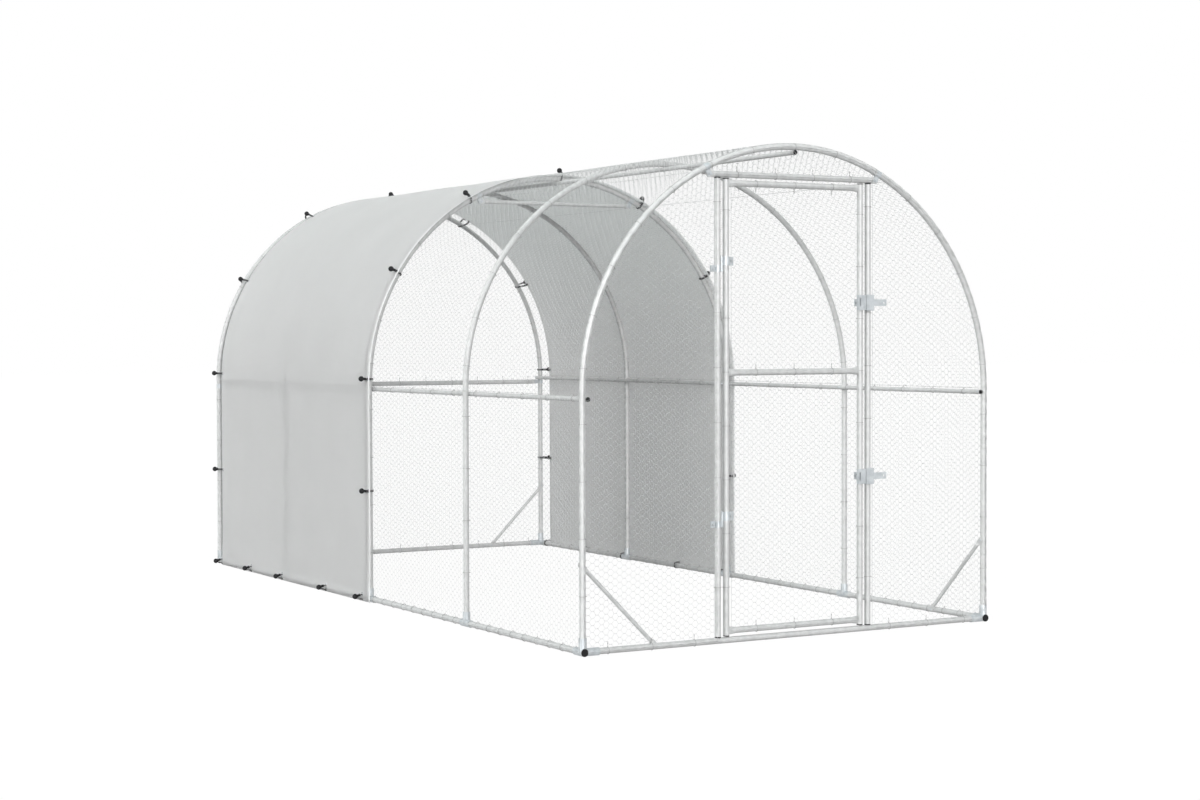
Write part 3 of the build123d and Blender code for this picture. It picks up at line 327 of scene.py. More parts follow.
def mottle(tree, shader, low, high, scale, detail=3.0, source="Object", low_at=0.3, high_at=0.7):
    """Colour that drifts between two shades with a noise over the surface"""
    place = tree.nodes.new("ShaderNodeTexCoord")
    noise = tree.nodes.new("ShaderNodeTexNoise")
    noise.inputs["Scale"].default_value = scale
    noise.inputs["Detail"].default_value = detail
    ramp = tree.nodes.new("ShaderNodeValToRGB")
    ramp.color_ramp.elements[0].position = low_at
    ramp.color_ramp.elements[0].color = (*low, 1.0)
    ramp.color_ramp.elements[1].position = high_at
    ramp.color_ramp.elements[1].color = (*high, 1.0)
    tree.links.new(place.outputs[source], noise.inputs["Vector"])
    tree.links.new(noise.outputs["Fac"], ramp.inputs["Fac"])
    tree.links.new(ramp.outputs["Color"], shader.inputs["Base Color"])
    return place, noise


def rough_range(tree, shader, noise, low, high):
    """Roughness that follows a noise between two values"""
    spread = tree.nodes.new("ShaderNodeMapRange")
    spread.inputs["To Min"].default_value = low
    spread.inputs["To Max"].default_value = high
    tree.links.new(noise.outputs["Fac"], spread.inputs["Value"])
    tree.links.new(spread.outputs["Result"], shader.inputs["Roughness"])


def bumped(tree, shader, height, strength, distance):
    """Bump on the shader from a height output"""
    bump = tree.nodes.new("ShaderNodeBump")
    bump.inputs["Strength"].default_value = strength
    bump.inputs["Distance"].default_value = distance
    tree.links.new(height, bump.inputs["Height"])
    tree.links.new(bump.outputs["Normal"], shader.inputs["Normal"])


def galvanised(name, low, high, metallic, spangle):
    """Hot-dip zinc with spangles and a little drift in its gloss"""
    finish, tree, shader = new_finish(name, high, roughness=0.4, metallic=metallic, sheen=0.15)
    place, noise = mottle(tree, shader, low, high, scale=38.0)
    rough_range(tree, shader, noise, low=0.30, high=0.48)
    crystals = tree.nodes.new("ShaderNodeTexVoronoi")
    crystals.inputs["Scale"].default_value = spangle
    tree.links.new(place.outputs["Object"], crystals.inputs["Vector"])
    bumped(tree, shader, crystals.outputs["Distance"], strength=0.12, distance=0.0006)
    return finish


def moulded(name, low, high, roughness, grain):
    """Black moulded plastic with a fine grain"""
    finish, tree, shader = new_finish(name, high, roughness, sheen=0.2)
    _, noise = mottle(tree, shader, low, high, scale=grain)
    bumped(tree, shader, noise.outputs["Fac"], strength=0.15, distance=0.0004)
    return finish


def braided(name, low, high, grain, rib_scale):
    """Black elastic with the slanted rib of a braid"""
    finish, tree, shader = new_finish(name, high, roughness=0.75)
    place, _ = mottle(tree, shader, low, high, scale=grain)
    rib = tree.nodes.new("ShaderNodeTexWave")
    rib.bands_direction = "DIAGONAL"
    rib.inputs["Scale"].default_value = rib_scale
    tree.links.new(place.outputs["Object"], rib.inputs["Vector"])
    bumped(tree, shader, rib.outputs["Fac"], strength=0.4, distance=0.0003)
    return finish


def woven_cover(name, low, high, weave_scale):
    """Coated tape-woven cloth that lets light through: crossing bands in the cover's own flat coordinates"""
    finish, tree, shader = new_finish(name, high, roughness=0.55)
    place, _ = mottle(tree, shader, low, high, scale=3.0, detail=4.0, source="UV")
    both = tree.nodes.new("ShaderNodeMath")
    both.operation = "ADD"
    for index, direction in enumerate(("X", "Y")):
        band = tree.nodes.new("ShaderNodeTexWave")
        band.bands_direction = direction
        band.inputs["Scale"].default_value = weave_scale
        tree.links.new(place.outputs["UV"], band.inputs["Vector"])
        tree.links.new(band.outputs["Fac"], both.inputs[index])
    bumped(tree, shader, both.outputs["Value"], strength=0.10, distance=0.0004)
    shader.inputs["Subsurface Weight"].default_value = 1.0
    shader.inputs["Subsurface Radius"].default_value = (1.0, 1.0, 1.0)
    to_edge = tree.nodes.new("ShaderNodeAttribute")
    to_edge.attribute_name = EDGE_LAYER
    depth = tree.nodes.new("ShaderNodeMapRange")
    depth.inputs["From Max"].default_value = HEM_WIDTH / 2
    depth.inputs["To Min"].default_value = HEM_DEPTH
    depth.inputs["To Max"].default_value = CLOTH_DEPTH
    tree.links.new(to_edge.outputs["Fac"], depth.inputs["Value"])
    tree.links.new(depth.outputs["Result"], shader.inputs["Subsurface Scale"])
    return finish


steel = galvanised(
    "galvanised_steel",
    low=(0.50, 0.505, 0.505),
    high=(0.60, 0.605, 0.605),
    metallic=0.12,
    spangle=140.0,
)
zinc = galvanised(
    "zinc_fittings",
    low=(0.44, 0.47, 0.49),
    high=(0.58, 0.61, 0.63),
    metallic=0.45,
    spangle=220.0,
)
wire = galvanised(
    "netting_wire",
    low=(0.53, 0.54, 0.54),
    high=(0.67, 0.68, 0.68),
    metallic=0.4,
    spangle=400.0,
)
tie_wire = galvanised(
    "tie_wire",
    low=(0.22, 0.22, 0.22),
    high=(0.34, 0.34, 0.34),
    metallic=0.4,
    spangle=400.0,
)
plastic = moulded(
    "black_plastic",
    low=(0.004, 0.004, 0.005),
    high=(0.012, 0.012, 0.013),
    roughness=0.50,
    grain=240.0,
)
elastic = braided(
    "black_elastic",
    low=(0.020, 0.020, 0.021),
    high=(0.040, 0.040, 0.042),
    grain=900.0,
    rib_scale=260.0,
)
cloth = woven_cover(
    "grey_cover_cloth",
    low=(0.89, 0.89, 0.89),
    high=(0.92, 0.92, 0.92),
    weave_scale=95.0,
)
eyelet_metal = galvanised(
    "eyelet_metal",
    low=(0.50, 0.51, 0.52),
    high=(0.70, 0.71, 0.72),
    metallic=0.8,
    spangle=300.0,
)
FINISHES = {
    "galvanised_steel": steel,
    "zinc_fittings": zinc,
    "netting_wire": wire,
    "black_plastic": plastic,
    "black_elastic": elastic,
    "grey_cover_cloth": cloth,
    "eyelet_metal": eyelet_metal,
}
for row in frame["record"]["subparts"]:
    node_mesh = nodes[row["node"]].data
    node_mesh.materials.clear()
    node_mesh.materials.append(FINISHES[row["material_slot"]])


# The curved skin over the hoops, by run from the ridge and place along the coop

def skin_angle(run):
    """Angle from the ridge of a run along the hoop"""
    return np.clip(run / HOOP_R, -pi / 2, pi / 2)


def skin_out(run):
    """Outward direction of the skin"""
    angle = skin_angle(run)
    return np.stack([np.sin(angle), np.zeros_like(angle), np.cos(angle)], axis=-1)


def skin_sag(run, y):
    """How far a sheet dips between the hoops, with slow unevenness along it"""
    span = np.sin(pi * (y - FRONT_Y) / BAY) ** 2
    uneven = SAG_MEAN
    for share, by_run, by_y, start in SAG_WAVES:
        uneven = uneven + share * np.sin(by_run * run + by_y * y + start)
    return NET_SAG * span * uneven


def skin_point(run, y, lift=0.0):
    """Point of a sheet over the hoops; it flares out to clear the foot sleeves"""
    out = skin_out(run)
    drop = np.maximum(np.abs(run) - QUARTER, 0.0)
    low = np.clip((drop - SPRING_Z + FOOT_FLARE_Z) / FOOT_FLARE_Z, 0.0, 1.0)
    flare = (SLEEVE_R - TUBE_R) * low * low * (3 - 2 * low)
    reach = HOOP_R + TUBE_R + NET_OFF_TUBE + flare - skin_sag(run, y) + lift
    points = out * reach[..., None]
    points[..., 1] = y
    points[..., 2] += SPRING_Z - drop
    return points


# Hexagonal netting

def shake(row, column, start):
    """Even scatter between -1/2 and 1/2, the same for the same joint of the netting"""
    value = np.sin(SHAKE_ROW * row + SHAKE_COLUMN * column + start) * SHAKE_GAIN
    return value - np.floor(value) - 0.5


def net_joint(row, column):
    """Middle of the twist at a row and column of the netting"""
    u = (column + (row % 2) / 2) * NET_PITCH
    v = row * CELL_ACROSS / 2
    return u + NET_JITTER * shake(row, column, SHAKE_U), v + NET_JITTER * shake(row, column, SHAKE_V)


def hex_wires(window):
    """Flat wires of hexagonal netting over a window: starts, ends, lifts and radii"""
    left, right, low, high = window
    row_step = CELL_ACROSS / 2
    rows = np.arange(low // row_step - 1, high // row_step + 3)
    columns = np.arange(left // NET_PITCH - 1, right // NET_PITCH + 3)
    row, column = [grid.ravel() for grid in np.meshgrid(rows, columns, indexing="ij")]
    u, v = net_joint(row, column)
    starts = []
    ends = []
    lifts = []
    radii = []
    for sign in SIDES:
        starts.append(np.c_[u - TWIST / 2, v + sign * TWIST_R])
        ends.append(np.c_[u + TWIST / 2, v - sign * TWIST_R])
        lifts.append(np.full(len(u), sign * TWIST_R))
        radii.append(np.full(len(u), TWIST_R))
        next_u, next_v = net_joint(row + sign, column + row % 2)
        starts.append(np.c_[u + TWIST / 2, v + sign * TWIST_R])
        ends.append(np.c_[next_u - TWIST / 2, next_v - sign * TWIST_R])
        lifts.append(np.zeros(len(u)))
        radii.append(np.full(len(u), SLANT_R))
    return [np.concatenate(parts) for parts in (starts, ends, lifts, radii)]


def clipped(starts, ends, lifts, radii, inside):
    """Wires cut off at the edge of the sheet"""
    start_in = inside(starts[:, 0], starts[:, 1])
    end_in = inside(ends[:, 0], ends[:, 1])
    both = start_in & end_in
    cut = start_in ^ end_in
    kept = np.where(start_in[cut, None], starts[cut], ends[cut])
    gone = np.where(start_in[cut, None], ends[cut], starts[cut])
    good = kept
    for _ in range(CUT_STEPS):
        half = (good + gone) / 2
        half_in = inside(half[:, 0], half[:, 1])[:, None]
        good = np.where(half_in, half, good)
        gone = np.where(half_in, gone, half)
    long_enough = np.linalg.norm(good - kept, axis=1) > TWIST_R
    starts = np.concatenate([starts[both], kept[long_enough]])
    ends = np.concatenate([ends[both], good[long_enough]])
    lifts = np.concatenate([lifts[both], lifts[cut][long_enough]])
    radii = np.concatenate([radii[both], radii[cut][long_enough]])
    return starts, ends, lifts, radii


def net_piece(name, window, inside, place, edges, body, *replaced):
    """Netting over a window, placed on its surface, with its selvedge wires"""
    starts, ends, lifts, radii = clipped(*hex_wires(window), inside)
    wires = [(place(starts[:, 0], starts[:, 1], lifts), place(ends[:, 0], ends[:, 1], lifts), radii)]
    for edge in edges:
        line = place(edge[:, 0], edge[:, 1], np.zeros(len(edge)))
        wires.append((line[:-1], line[1:], np.full(len(line) - 1, SELVEDGE_R)))
    wire_starts, wire_ends, wire_radii = [np.concatenate(column) for column in zip(*wires)]
    points, groups = prisms(wire_starts, wire_ends, wire_radii)
    piece = add_mesh(name, points, groups, wire)
    settle(piece, body, "netting_wire", *replaced)


def straight_edge(start, end):
    """Flat points along one straight edge"""
    start = np.asarray(start)
    end = np.asarray(end)
    count = max(2, int(np.linalg.norm(end - start) / EDGE_STEP))
    share = np.linspace(0.0, 1.0, count)[:, None]
    return start + (end - start) * share


def window_edges(window):
    """The four edges of a window"""
    left, right, low, high = window
    corners = [(left, low), (right, low), (right, high), (left, high)]
    return [straight_edge(corners[index], corners[(index + 1) % 4]) for index in range(4)]


def in_window(window):
    """Test for flat points in a window"""
    left, right, low, high = window

    def inside(u, v):
        return (u >= left) & (u <= right) & (v >= low) & (v <= high)

    return inside


def skin_place(u, v, lift):
    """Netting over the hoops, from its place along the coop and its run"""
    return skin_point(v, u, lift)


def skin_net(name, run_from, run_to, node):
    """One width of netting along the coop, bent over the hoops, as a front and a rear half"""
    halves = {"front": (FRONT_Y - NET_PAST_HOOP, MID_Y), "rear": (MID_Y, REAR_Y + NET_PAST_HOOP)}
    for word, (y_from, y_to) in halves.items():
        window = (y_from, y_to, run_from, run_to)
        replaced = [node] if word == "front" else []
        edges = window_edges(window)
        net_piece(f"{name}_{word}", window, in_window(window), skin_place, edges, "frame", *replaced)


WALL_FOOT = HALF_RUN - BASE_Z
THIRD = 2 * QUARTER / 3
skin_net("netting_left_wall", -WALL_FOOT, -QUARTER, "left_wall_net")
skin_net("netting_left_roof", -QUARTER, THIRD - QUARTER, "left_roof_net")
skin_net("netting_top_roof", THIRD - QUARTER, QUARTER - THIRD, "top_roof_net")
skin_net("netting_right_roof", QUARTER - THIRD, QUARTER, "right_roof_net")
skin_net("netting_right_wall", QUARTER, WALL_FOOT, "right_wall_net")


# Netting of the rear and the front

FACE_WINDOW = (-HOOP_R, HOOP_R, BASE_Z, HEIGHT)
FACE_OFF = SLEEVE_R + NET_OFF_TUBE
NET_DOOR_X = POST_X + NET_PAST_POST


def under_arch(x, z):
    """Whether a flat point lies under the hoop and over the base rail"""
    rise = np.maximum(z - SPRING_Z, 0.0)
    return (x * x + rise * rise <= HOOP_R * HOOP_R) & (z >= BASE_Z)


def arch_part(window):
    """Test for flat points under the hoop and in a window"""
    in_part = in_window(window)

    def inside(x, z):
        return under_arch(x, z) & in_part(x, z)

    return inside


def beside_door(x, z):
    """Whether a flat point of the front lies outside the doorway"""
    return under_arch(x, z) & ((np.abs(x) >= NET_DOOR_X) | (z >= TIE_Z))


def arch_edge(low_x, high_x):
    """Points along the hoop between two places across"""
    start = np.arccos(np.clip(high_x / HOOP_R, -1, 1))
    end = np.arccos(np.clip(low_x / HOOP_R, -1, 1))
    turns = np.linspace(start, end, ARCH_STEPS)
    return np.c_[HOOP_R * np.cos(turns), SPRING_Z + HOOP_R * np.sin(turns)]


def rear_place(u, v, lift):
    """Netting on the rear hoop"""
    return np.stack([u, np.full_like(u, REAR_Y + FACE_OFF) + lift, v], axis=-1)


def front_place(u, v, lift):
    """Netting on the front hoop"""
    return np.stack([u, np.full_like(u, FRONT_Y - FACE_OFF) - lift, v], axis=-1)


rear_edges = [
    arch_edge(-HOOP_R, HOOP_R),
    straight_edge((-HOOP_R, BASE_Z), (HOOP_R, BASE_Z)),
    straight_edge((-HOOP_R, BASE_Z), (-HOOP_R, SPRING_Z)),
    straight_edge((HOOP_R, BASE_Z), (HOOP_R, SPRING_Z)),
]
REAR_HALVES = {"left": (-HOOP_R, 0.0), "right": (0.0, HOOP_R)}
for word, (x_from, x_to) in REAR_HALVES.items():
    half = (x_from, x_to, BASE_Z, HEIGHT)
    edges = rear_edges if word == "left" else []
    replaced = ["rear_net"] if word == "left" else []
    net_piece(f"netting_rear_{word}", half, arch_part(half), rear_place, edges, "frame", *replaced)
front_edges = rear_edges[:1] + rear_edges[2:] + [
    straight_edge((-HOOP_R, BASE_Z), (-NET_DOOR_X, BASE_Z)),
    straight_edge((NET_DOOR_X, BASE_Z), (HOOP_R, BASE_Z)),
    straight_edge((-NET_DOOR_X, BASE_Z), (-NET_DOOR_X, TIE_Z)),
    straight_edge((NET_DOOR_X, BASE_Z), (NET_DOOR_X, TIE_Z)),
    straight_edge((-NET_DOOR_X, TIE_Z), (NET_DOOR_X, TIE_Z)),
]
net_piece("netting_front", FACE_WINDOW, beside_door, front_place, front_edges, "frame", "front_net")


# Netting of the door

DOOR_LOW, DOOR_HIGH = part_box("door_net")
DOOR_WINDOW = (DOOR_LOW.x, DOOR_HIGH.x, DOOR_LOW.z, DOOR_HIGH.z)


def door_place(u, v, lift):
    """Netting on the front of the door frame"""
    return np.stack([u, np.full_like(u, FRONT_Y - TUBE_R - NET_OFF_TUBE) - lift, v], axis=-1)


door_edges = window_edges(DOOR_WINDOW)
net_piece("netting_door", DOOR_WINDOW, in_window(DOOR_WINDOW), door_place, door_edges, "door", "door_net")


# Ball bungees: frames with a direction along the cover and a direction outward

COVER_LOW, COVER_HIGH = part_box("rain_cover")
COVER_FRONT_Y = COVER_LOW.y
COVER_REAR_Y = COVER_HIGH.y
COVER_RUN = HALF_RUN - COVER_LOW.z + HEM_DROP
COVER_OUT = TUBE_R + NET_OFF_TUBE + COVER_LIFT + COVER_THICKNESS
BALL_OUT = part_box("bungee_balls")[1].x - BALL_R - HOOP_R
RAIL_BALL_OUT = BALL_OUT + RAIL_BALL_OFF
CORD_OVER = COVER_OUT + EYELET_RISE + CORD_R
CORD_ROUND = TUBE_R + CORD_R
RAIL_FLARE = SLEEVE_R - TUBE_R


def hoop_frame(run, y):
    """Origin on the hoop's middle line, direction to the rear, direction outward"""
    run = np.array(run)
    out = skin_out(run)
    drop = max(abs(float(run)) - QUARTER, 0.0)
    origin = out * HOOP_R + np.array((0.0, y, SPRING_Z - drop))
    return origin, REARWARD, out


def base_frame(side, y):
    """Origin on the ground under a base rail, direction up, direction outward"""
    return np.array((side * HOOP_R, y, 0.0)), UP, np.array((side, 0.0, 0.0))


def in_frame(place, along, outward):
    """Global point from distances in a bungee's frame"""
    origin, along_axis, out_axis = place
    return origin + along * along_axis + outward * out_axis


bungee_runs = []
for side in SIDES:
    for step in range(BUNGEES_ON_SIDE):
        bungee_runs.append(side * (HALF_RUN - BUNGEE_PITCH * (step + 1)))
bungee_runs.append(RIDGE_SHIFT)
rail_ys = []
for hoop_y in HOOP_YS[MID_HOOP:-1]:
    rail_ys.append(hoop_y + RAIL_BUNGEE_FROM_HOOP)
    rail_ys.append(hoop_y + BAY / 2)
rail_ys.append(REAR_Y - RAIL_BUNGEE_FROM_HOOP)
mid_frames = [hoop_frame(run, MID_Y) for run in bungee_runs]
rear_frames = [hoop_frame(run, REAR_Y) for run in bungee_runs]
rail_frames = [base_frame(side, y - RAIL_LEAN) for side in SIDES for y in rail_ys]

# Way of each elastic: from the ball through the eyelet, round the tube and back, as (along, outward)
mid_way_in = -MID_EYELET_AHEAD - CORD_R
mid_way_out = -MID_EYELET_AHEAD + CORD_R
mid_route = [
    (MID_BALL_BEHIND - CORD_R, BALL_OUT + CORD_R),
    (mid_way_in, CORD_OVER + CORD_R),
    (mid_way_in, TUBE_R),
    (-CORD_ROUND, -CORD_ROUND),
    (CORD_ROUND, -CORD_ROUND),
    (CORD_ROUND, CORD_ROUND),
    (-TUBE_R, CORD_ROUND),
    (mid_way_out, TUBE_R),
    (mid_way_out, CORD_OVER - CORD_R),
    (MID_BALL_BEHIND + CORD_R, BALL_OUT - CORD_R),
]
rear_route = [
    (-REAR_BALL_AHEAD - CORD_R, BALL_OUT),
    (-REAR_EYELET_AHEAD, CORD_OVER),
    (-REAR_EYELET_AHEAD, 0.0),
    (-CORD_ROUND, -CORD_ROUND),
    (CORD_ROUND, -CORD_ROUND),
    (CORD_ROUND, CORD_OVER),
    (CORD_R - REAR_BALL_AHEAD, BALL_OUT),
]
rail_route = [
    (RAIL_BALL_Z + CORD_R, RAIL_BALL_OUT),
    (RAIL_EYELET_Z - CORD_R, CORD_OVER + RAIL_FLARE),
    (RAIL_EYELET_Z, 0.0),
    (BASE_Z + CORD_ROUND, -CORD_ROUND),
    (CORD_R, -CORD_ROUND),
    (CORD_R, CORD_ROUND),
    (RAIL_BALL_Z - BALL_R + CORD_R, CORD_OVER + RAIL_FLARE),
    (RAIL_BALL_Z - CORD_R, RAIL_BALL_OUT),
]

# Each kind of bungee: its frames, its route, the ball's middle and how far the ball leans to the rear
bungees = [
    (mid_frames, mid_route, (MID_BALL_BEHIND, BALL_OUT), 0.0),
    (rear_frames, rear_route, (-REAR_BALL_AHEAD, BALL_OUT), 0.0),
    (rail_frames, rail_route, (RAIL_BALL_Z, RAIL_BALL_OUT), RAIL_LEAN),
]


def loop_path(place, route, lean):
    """Elastic loop: out along one strand and back along the strand beside it, its ends leant to the ball"""
    beside = STRAND_SPLIT * np.cross(place[2], place[1])
    line = [in_frame(place, along, outward) for along, outward in route]
    line[0] = line[0] + lean * REARWARD
    line[-1] = line[-1] + lean * REARWARD
    return [point + beside for point in line] + [point - beside for point in reversed(line)]


loop_paths = []
for frames, route, _, lean in bungees:
    loop_paths += [loop_path(place, route, lean) for place in frames]
loops = add_curve("bungee_elastic", loop_paths, CORD_R, elastic, smooth=True)
settle(loops, "frame", "black_elastic", "bungee_loops")


# Balls with a moulding seam and a neck where the elastic goes in

def ball_outline():
    """Half outline of a ball from the end of its neck to its top, as (radius, height)"""
    neck_end = -BALL_R - NECK_LENGTH
    outline = [(0.0, neck_end), (NECK_R - NECK_EDGE, neck_end), (NECK_R, neck_end + NECK_EDGE)]
    for turn in np.linspace(-np.arccos(NECK_R / BALL_R), pi / 2, BALL_ROWS):
        seam = SEAM_DEPTH if abs(turn) < SEAM_TURN else 0.0
        outline.append(((BALL_R - seam) * cos(turn), (BALL_R - seam) * sin(turn)))
    return outline


def ball_place(place, route, centre, lean):
    """Middle and axes of a ball whose neck points to the eyelet"""
    ball_at = in_frame(place, *centre) + lean * REARWARD
    away = ball_at - in_frame(place, *route[1])
    away /= np.linalg.norm(away)
    across = np.cross(np.cross(place[2], place[1]), away)
    across /= np.linalg.norm(across)
    return ball_at, across, np.cross(away, across), away


ball_places = []
for frames, route, centre, lean in bungees:
    ball_places += [ball_place(place, route, centre, lean) for place in frames]
ball_points, ball_faces = repeated(*revolved(ball_outline(), TURN_STEPS), ball_places)
balls = add_mesh("bungee_ball_ends", ball_points, [ball_faces], plastic)
smooth_faces(balls)
settle(balls, "frame", "black_plastic", "bungee_balls")


# Lift of the cover, with the flat places of its eyelets as (run, y)

eyelet_places = []
eyelet_flat = []
for frames, along in ((mid_frames, -MID_EYELET_AHEAD), (rear_frames, -REAR_EYELET_AHEAD)):
    for run, place in zip(bungee_runs, frames):
        eyelet_flat.append((run, place[0][1] + along))
        eyelet_places.append(place)
for place in rail_frames:
    side = place[2][0]
    eyelet_flat.append((side * (HALF_RUN - RAIL_EYELET_Z), place[0][1]))
    eyelet_places.append(place)
EYELETS = np.array(eyelet_flat)


def edge_distance(run, y):
    """Distance of a point of the cover from its nearest edge"""
    return np.minimum(COVER_RUN - np.abs(run), np.minimum(y - COVER_FRONT_Y, COVER_REAR_Y - y))


def cover_lift(run, y):
    """Lift of the cover over the netting, rippled, puckered round each eyelet and thicker at its hems"""
    long_wave = np.sin(RIPPLE_LONG[0] * run + RIPPLE_LONG[1] * y)
    short_wave = np.sin(RIPPLE_SHORT[0] * run + RIPPLE_SHORT[1] * y)
    lift = COVER_LIFT + RIPPLE * long_wave * short_wave
    for eyelet_run, eyelet_y in EYELETS:
        far = np.hypot(run - eyelet_run, y - eyelet_y)
        turn = np.arctan2(y - eyelet_y, run - eyelet_run)
        folds = np.cos(PUCKER_FOLDS * turn) * (far > EYELET_R)
        lift = lift + PUCKER * np.exp(-far / PUCKER_REACH) * folds
    lift = lift + HEM_LIFT * (edge_distance(run, y) < HEM_WIDTH - HEM_FOLD / 2)
    return np.maximum(lift, COVER_THICKNESS * 2)


# Eyelets pressed into the cover
eyelet_outline = [
    (EYELET_HOLE_R, -EYELET_UNDER),
    (EYELET_HOLE_R, EYELET_EDGE),
    (EYELET_HOLE_R + EYELET_EDGE, EYELET_RISE),
    (EYELET_R - EYELET_SHOULDER, EYELET_SHOULDER_RISE),
    (EYELET_R - EYELET_ROLL, EYELET_EDGE),
    (EYELET_R, 0.0),
]
ring_middles = skin_point(*EYELETS.T, cover_lift(*EYELETS.T) + COVER_THICKNESS)
ring_places = []
for ring_middle, (_, along_axis, out_axis) in zip(ring_middles, eyelet_places):
    ring_places.append((ring_middle, along_axis, np.cross(out_axis, along_axis), out_axis))
ring_points, ring_faces = repeated(*revolved(eyelet_outline, TURN_STEPS), ring_places)
rings = add_mesh("cover_eyelet_rings", ring_points, [ring_faces], eyelet_metal)
smooth_faces(rings)
settle(rings, "frame", "eyelet_metal", "cover_eyelets")


# Rain cover with its folded hems

def cloth_patch(name, run_line, y_line):
    """Cloth over a grid of runs and places along, with flat coordinates for its weave"""
    run_grid, y_grid = np.meshgrid(run_line, y_line, indexing="ij")
    rows, columns = run_grid.shape
    run = run_grid.ravel()
    y = y_grid.ravel()
    points = skin_point(run, y, cover_lift(run, y))
    row, column = np.meshgrid(np.arange(rows - 1), np.arange(columns - 1), indexing="ij")
    first = (row * columns + column).ravel()
    quads = np.stack([first, first + 1, first + columns + 1, first + columns], axis=1)
    piece = add_mesh(name, points, [quads], cloth)
    flat = np.c_[run, y].astype(np.float32)
    layer = piece.data.uv_layers.new(name="weave")
    layer.data.foreach_set("uv", flat[quads.ravel()].ravel())
    to_edge = piece.data.attributes.new(EDGE_LAYER, "FLOAT", "POINT")
    to_edge.data.foreach_set("value", edge_distance(run, y).astype(np.float32))
    smooth_faces(piece)
    thicken = piece.modifiers.new("thickness", "SOLIDIFY")
    thicken.thickness = COVER_THICKNESS
    thicken.offset = 0.0
    return piece


def hemmed(start, end):
    """Even steps between two edges, with a close pair where each hem ends"""
    inner = np.linspace(start + HEM_WIDTH, end - HEM_WIDTH, round((end - start) / COVER_STEP))
    low = start + np.array((0.0, HEM_WIDTH / 2, HEM_WIDTH - HEM_FOLD))
    high = end - np.array((HEM_WIDTH - HEM_FOLD, HEM_WIDTH / 2, 0.0))
    return np.concatenate([low, inner, high])


cover_run_line = hemmed(-COVER_RUN, COVER_RUN)
cover_y_line = hemmed(COVER_FRONT_Y, COVER_REAR_Y)
cover = cloth_patch("rain_cover_cloth", cover_run_line, cover_y_line)
settle(cover, "frame", "grey_cover_cloth", "rain_cover")


# Wire ties of the netting: a turn round the tube and two ends that stand off it

HINGE_ENDS = [corner.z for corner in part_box("hinge_door_clamps")]
RAIL_R = (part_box("ridge_pole")[1].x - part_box("ridge_pole")[0].x) / 2


def tie_path(centre, axis, tail_way, radius, tail):
    """Wire once round a tube at a point, its two ends twisted off along tail_way"""
    axis = np.asarray(axis, float)
    way = np.asarray(tail_way, float)
    across = np.cross(axis, way)
    turns = np.linspace(TIE_OPEN, 2 * pi - TIE_OPEN, TIE_POINTS)
    shifts = np.linspace(-1.0, 1.0, TIE_POINTS) * TIE_WIRE_R
    ring = []
    for turn, shift in zip(turns, shifts):
        ring.append(centre + radius * (cos(turn) * way + sin(turn) * across) + shift * axis)
    tip = centre + (radius + tail) * way
    return [tip - TIE_SPLIT * axis] + ring + [tip + TIE_SPLIT * axis - TIE_TAIL_STEP * way]


def tie_row(start, end, step, tail_way, tube_r, tail=TIE_TAIL):
    """Ties evenly along a straight tube"""
    start = np.asarray(start, float)
    end = np.asarray(end, float)
    length = np.linalg.norm(end - start)
    axis = (end - start) / length
    count = max(1, round(length / step))
    places = start + np.outer((np.arange(count) + 0.5) / count * length, axis)
    return [tie_path(place, axis, tail_way, tube_r + TIE_OFF_TUBE, tail) for place in places]


def arch_ties(y):
    """Ties along the bow of one hoop, their ends inward"""
    paths = []
    count = round(2 * QUARTER / HOOP_TIE_STEP)
    for index in range(count):
        out = skin_out(np.array(-QUARTER + (index + 0.5) * 2 * QUARTER / count))
        centre = out * HOOP_R + np.array((0.0, y, SPRING_Z))
        axis = np.cross(out, REARWARD)
        paths.append(tie_path(centre, axis, -out, TUBE_R + TIE_OFF_TUBE, SHORT_TAIL))
    return paths


def leg_ties(side, y):
    """Ties along one leg of a hoop, their ends inward"""
    leg = [(side * HOOP_R, y, LEG_TIE_LOW), (side * HOOP_R, y, SPRING_Z)]
    return tie_row(*leg, HOOP_TIE_STEP, (-side, 0, 0), TUBE_R, SHORT_TAIL)


def long_rail_ties(side):
    """Ties along the base rail and the mid rail of one side"""
    base = [(side * HOOP_R, FRONT_Y, BASE_Z), (side * HOOP_R, REAR_Y, BASE_Z)]
    rail = middle(f"{'left' if side < 0 else 'right'}_mid_rail")
    rail_line = [(rail.x, FRONT_Y, rail.z), (rail.x, REAR_Y, rail.z)]
    base_paths = tie_row(*base, SIDE_TIE_STEP, UP, TUBE_R, SHORT_TAIL)
    return base_paths + tie_row(*rail_line, HOOP_TIE_STEP, UP, RAIL_R, SHORT_TAIL)


def clear_of_hinges(path):
    """Whether a tie on a post stays clear of the hinge clamps"""
    return min(abs(path[0][2] - level) for level in HINGE_ENDS) > HINGE_CLEAR


def front_side_ties(side):
    """Ties along one door post and along the front base rail beside it"""
    post = [(side * POST_X, FRONT_Y, LEG_TIE_LOW), (side * POST_X, FRONT_Y, TIE_Z)]
    post_paths = tie_row(*post, HOOP_TIE_STEP, (side, 0, 0), TUBE_R, SHORT_TAIL)
    from_post = (side * (POST_X + TUBE_R), FRONT_Y, BASE_Z)
    to_leg = (side * (HOOP_R - TUBE_R), FRONT_Y, BASE_Z)
    base_paths = tie_row(from_post, to_leg, CROSS_TIE_STEP, UP, TUBE_R)
    return [path for path in post_paths if clear_of_hinges(path)] + base_paths


def cross_ties(half, y, z):
    """Ties along a tube across the coop"""
    return tie_row((-half, y, z), (half, y, z), CROSS_TIE_STEP, UP, TUBE_R)


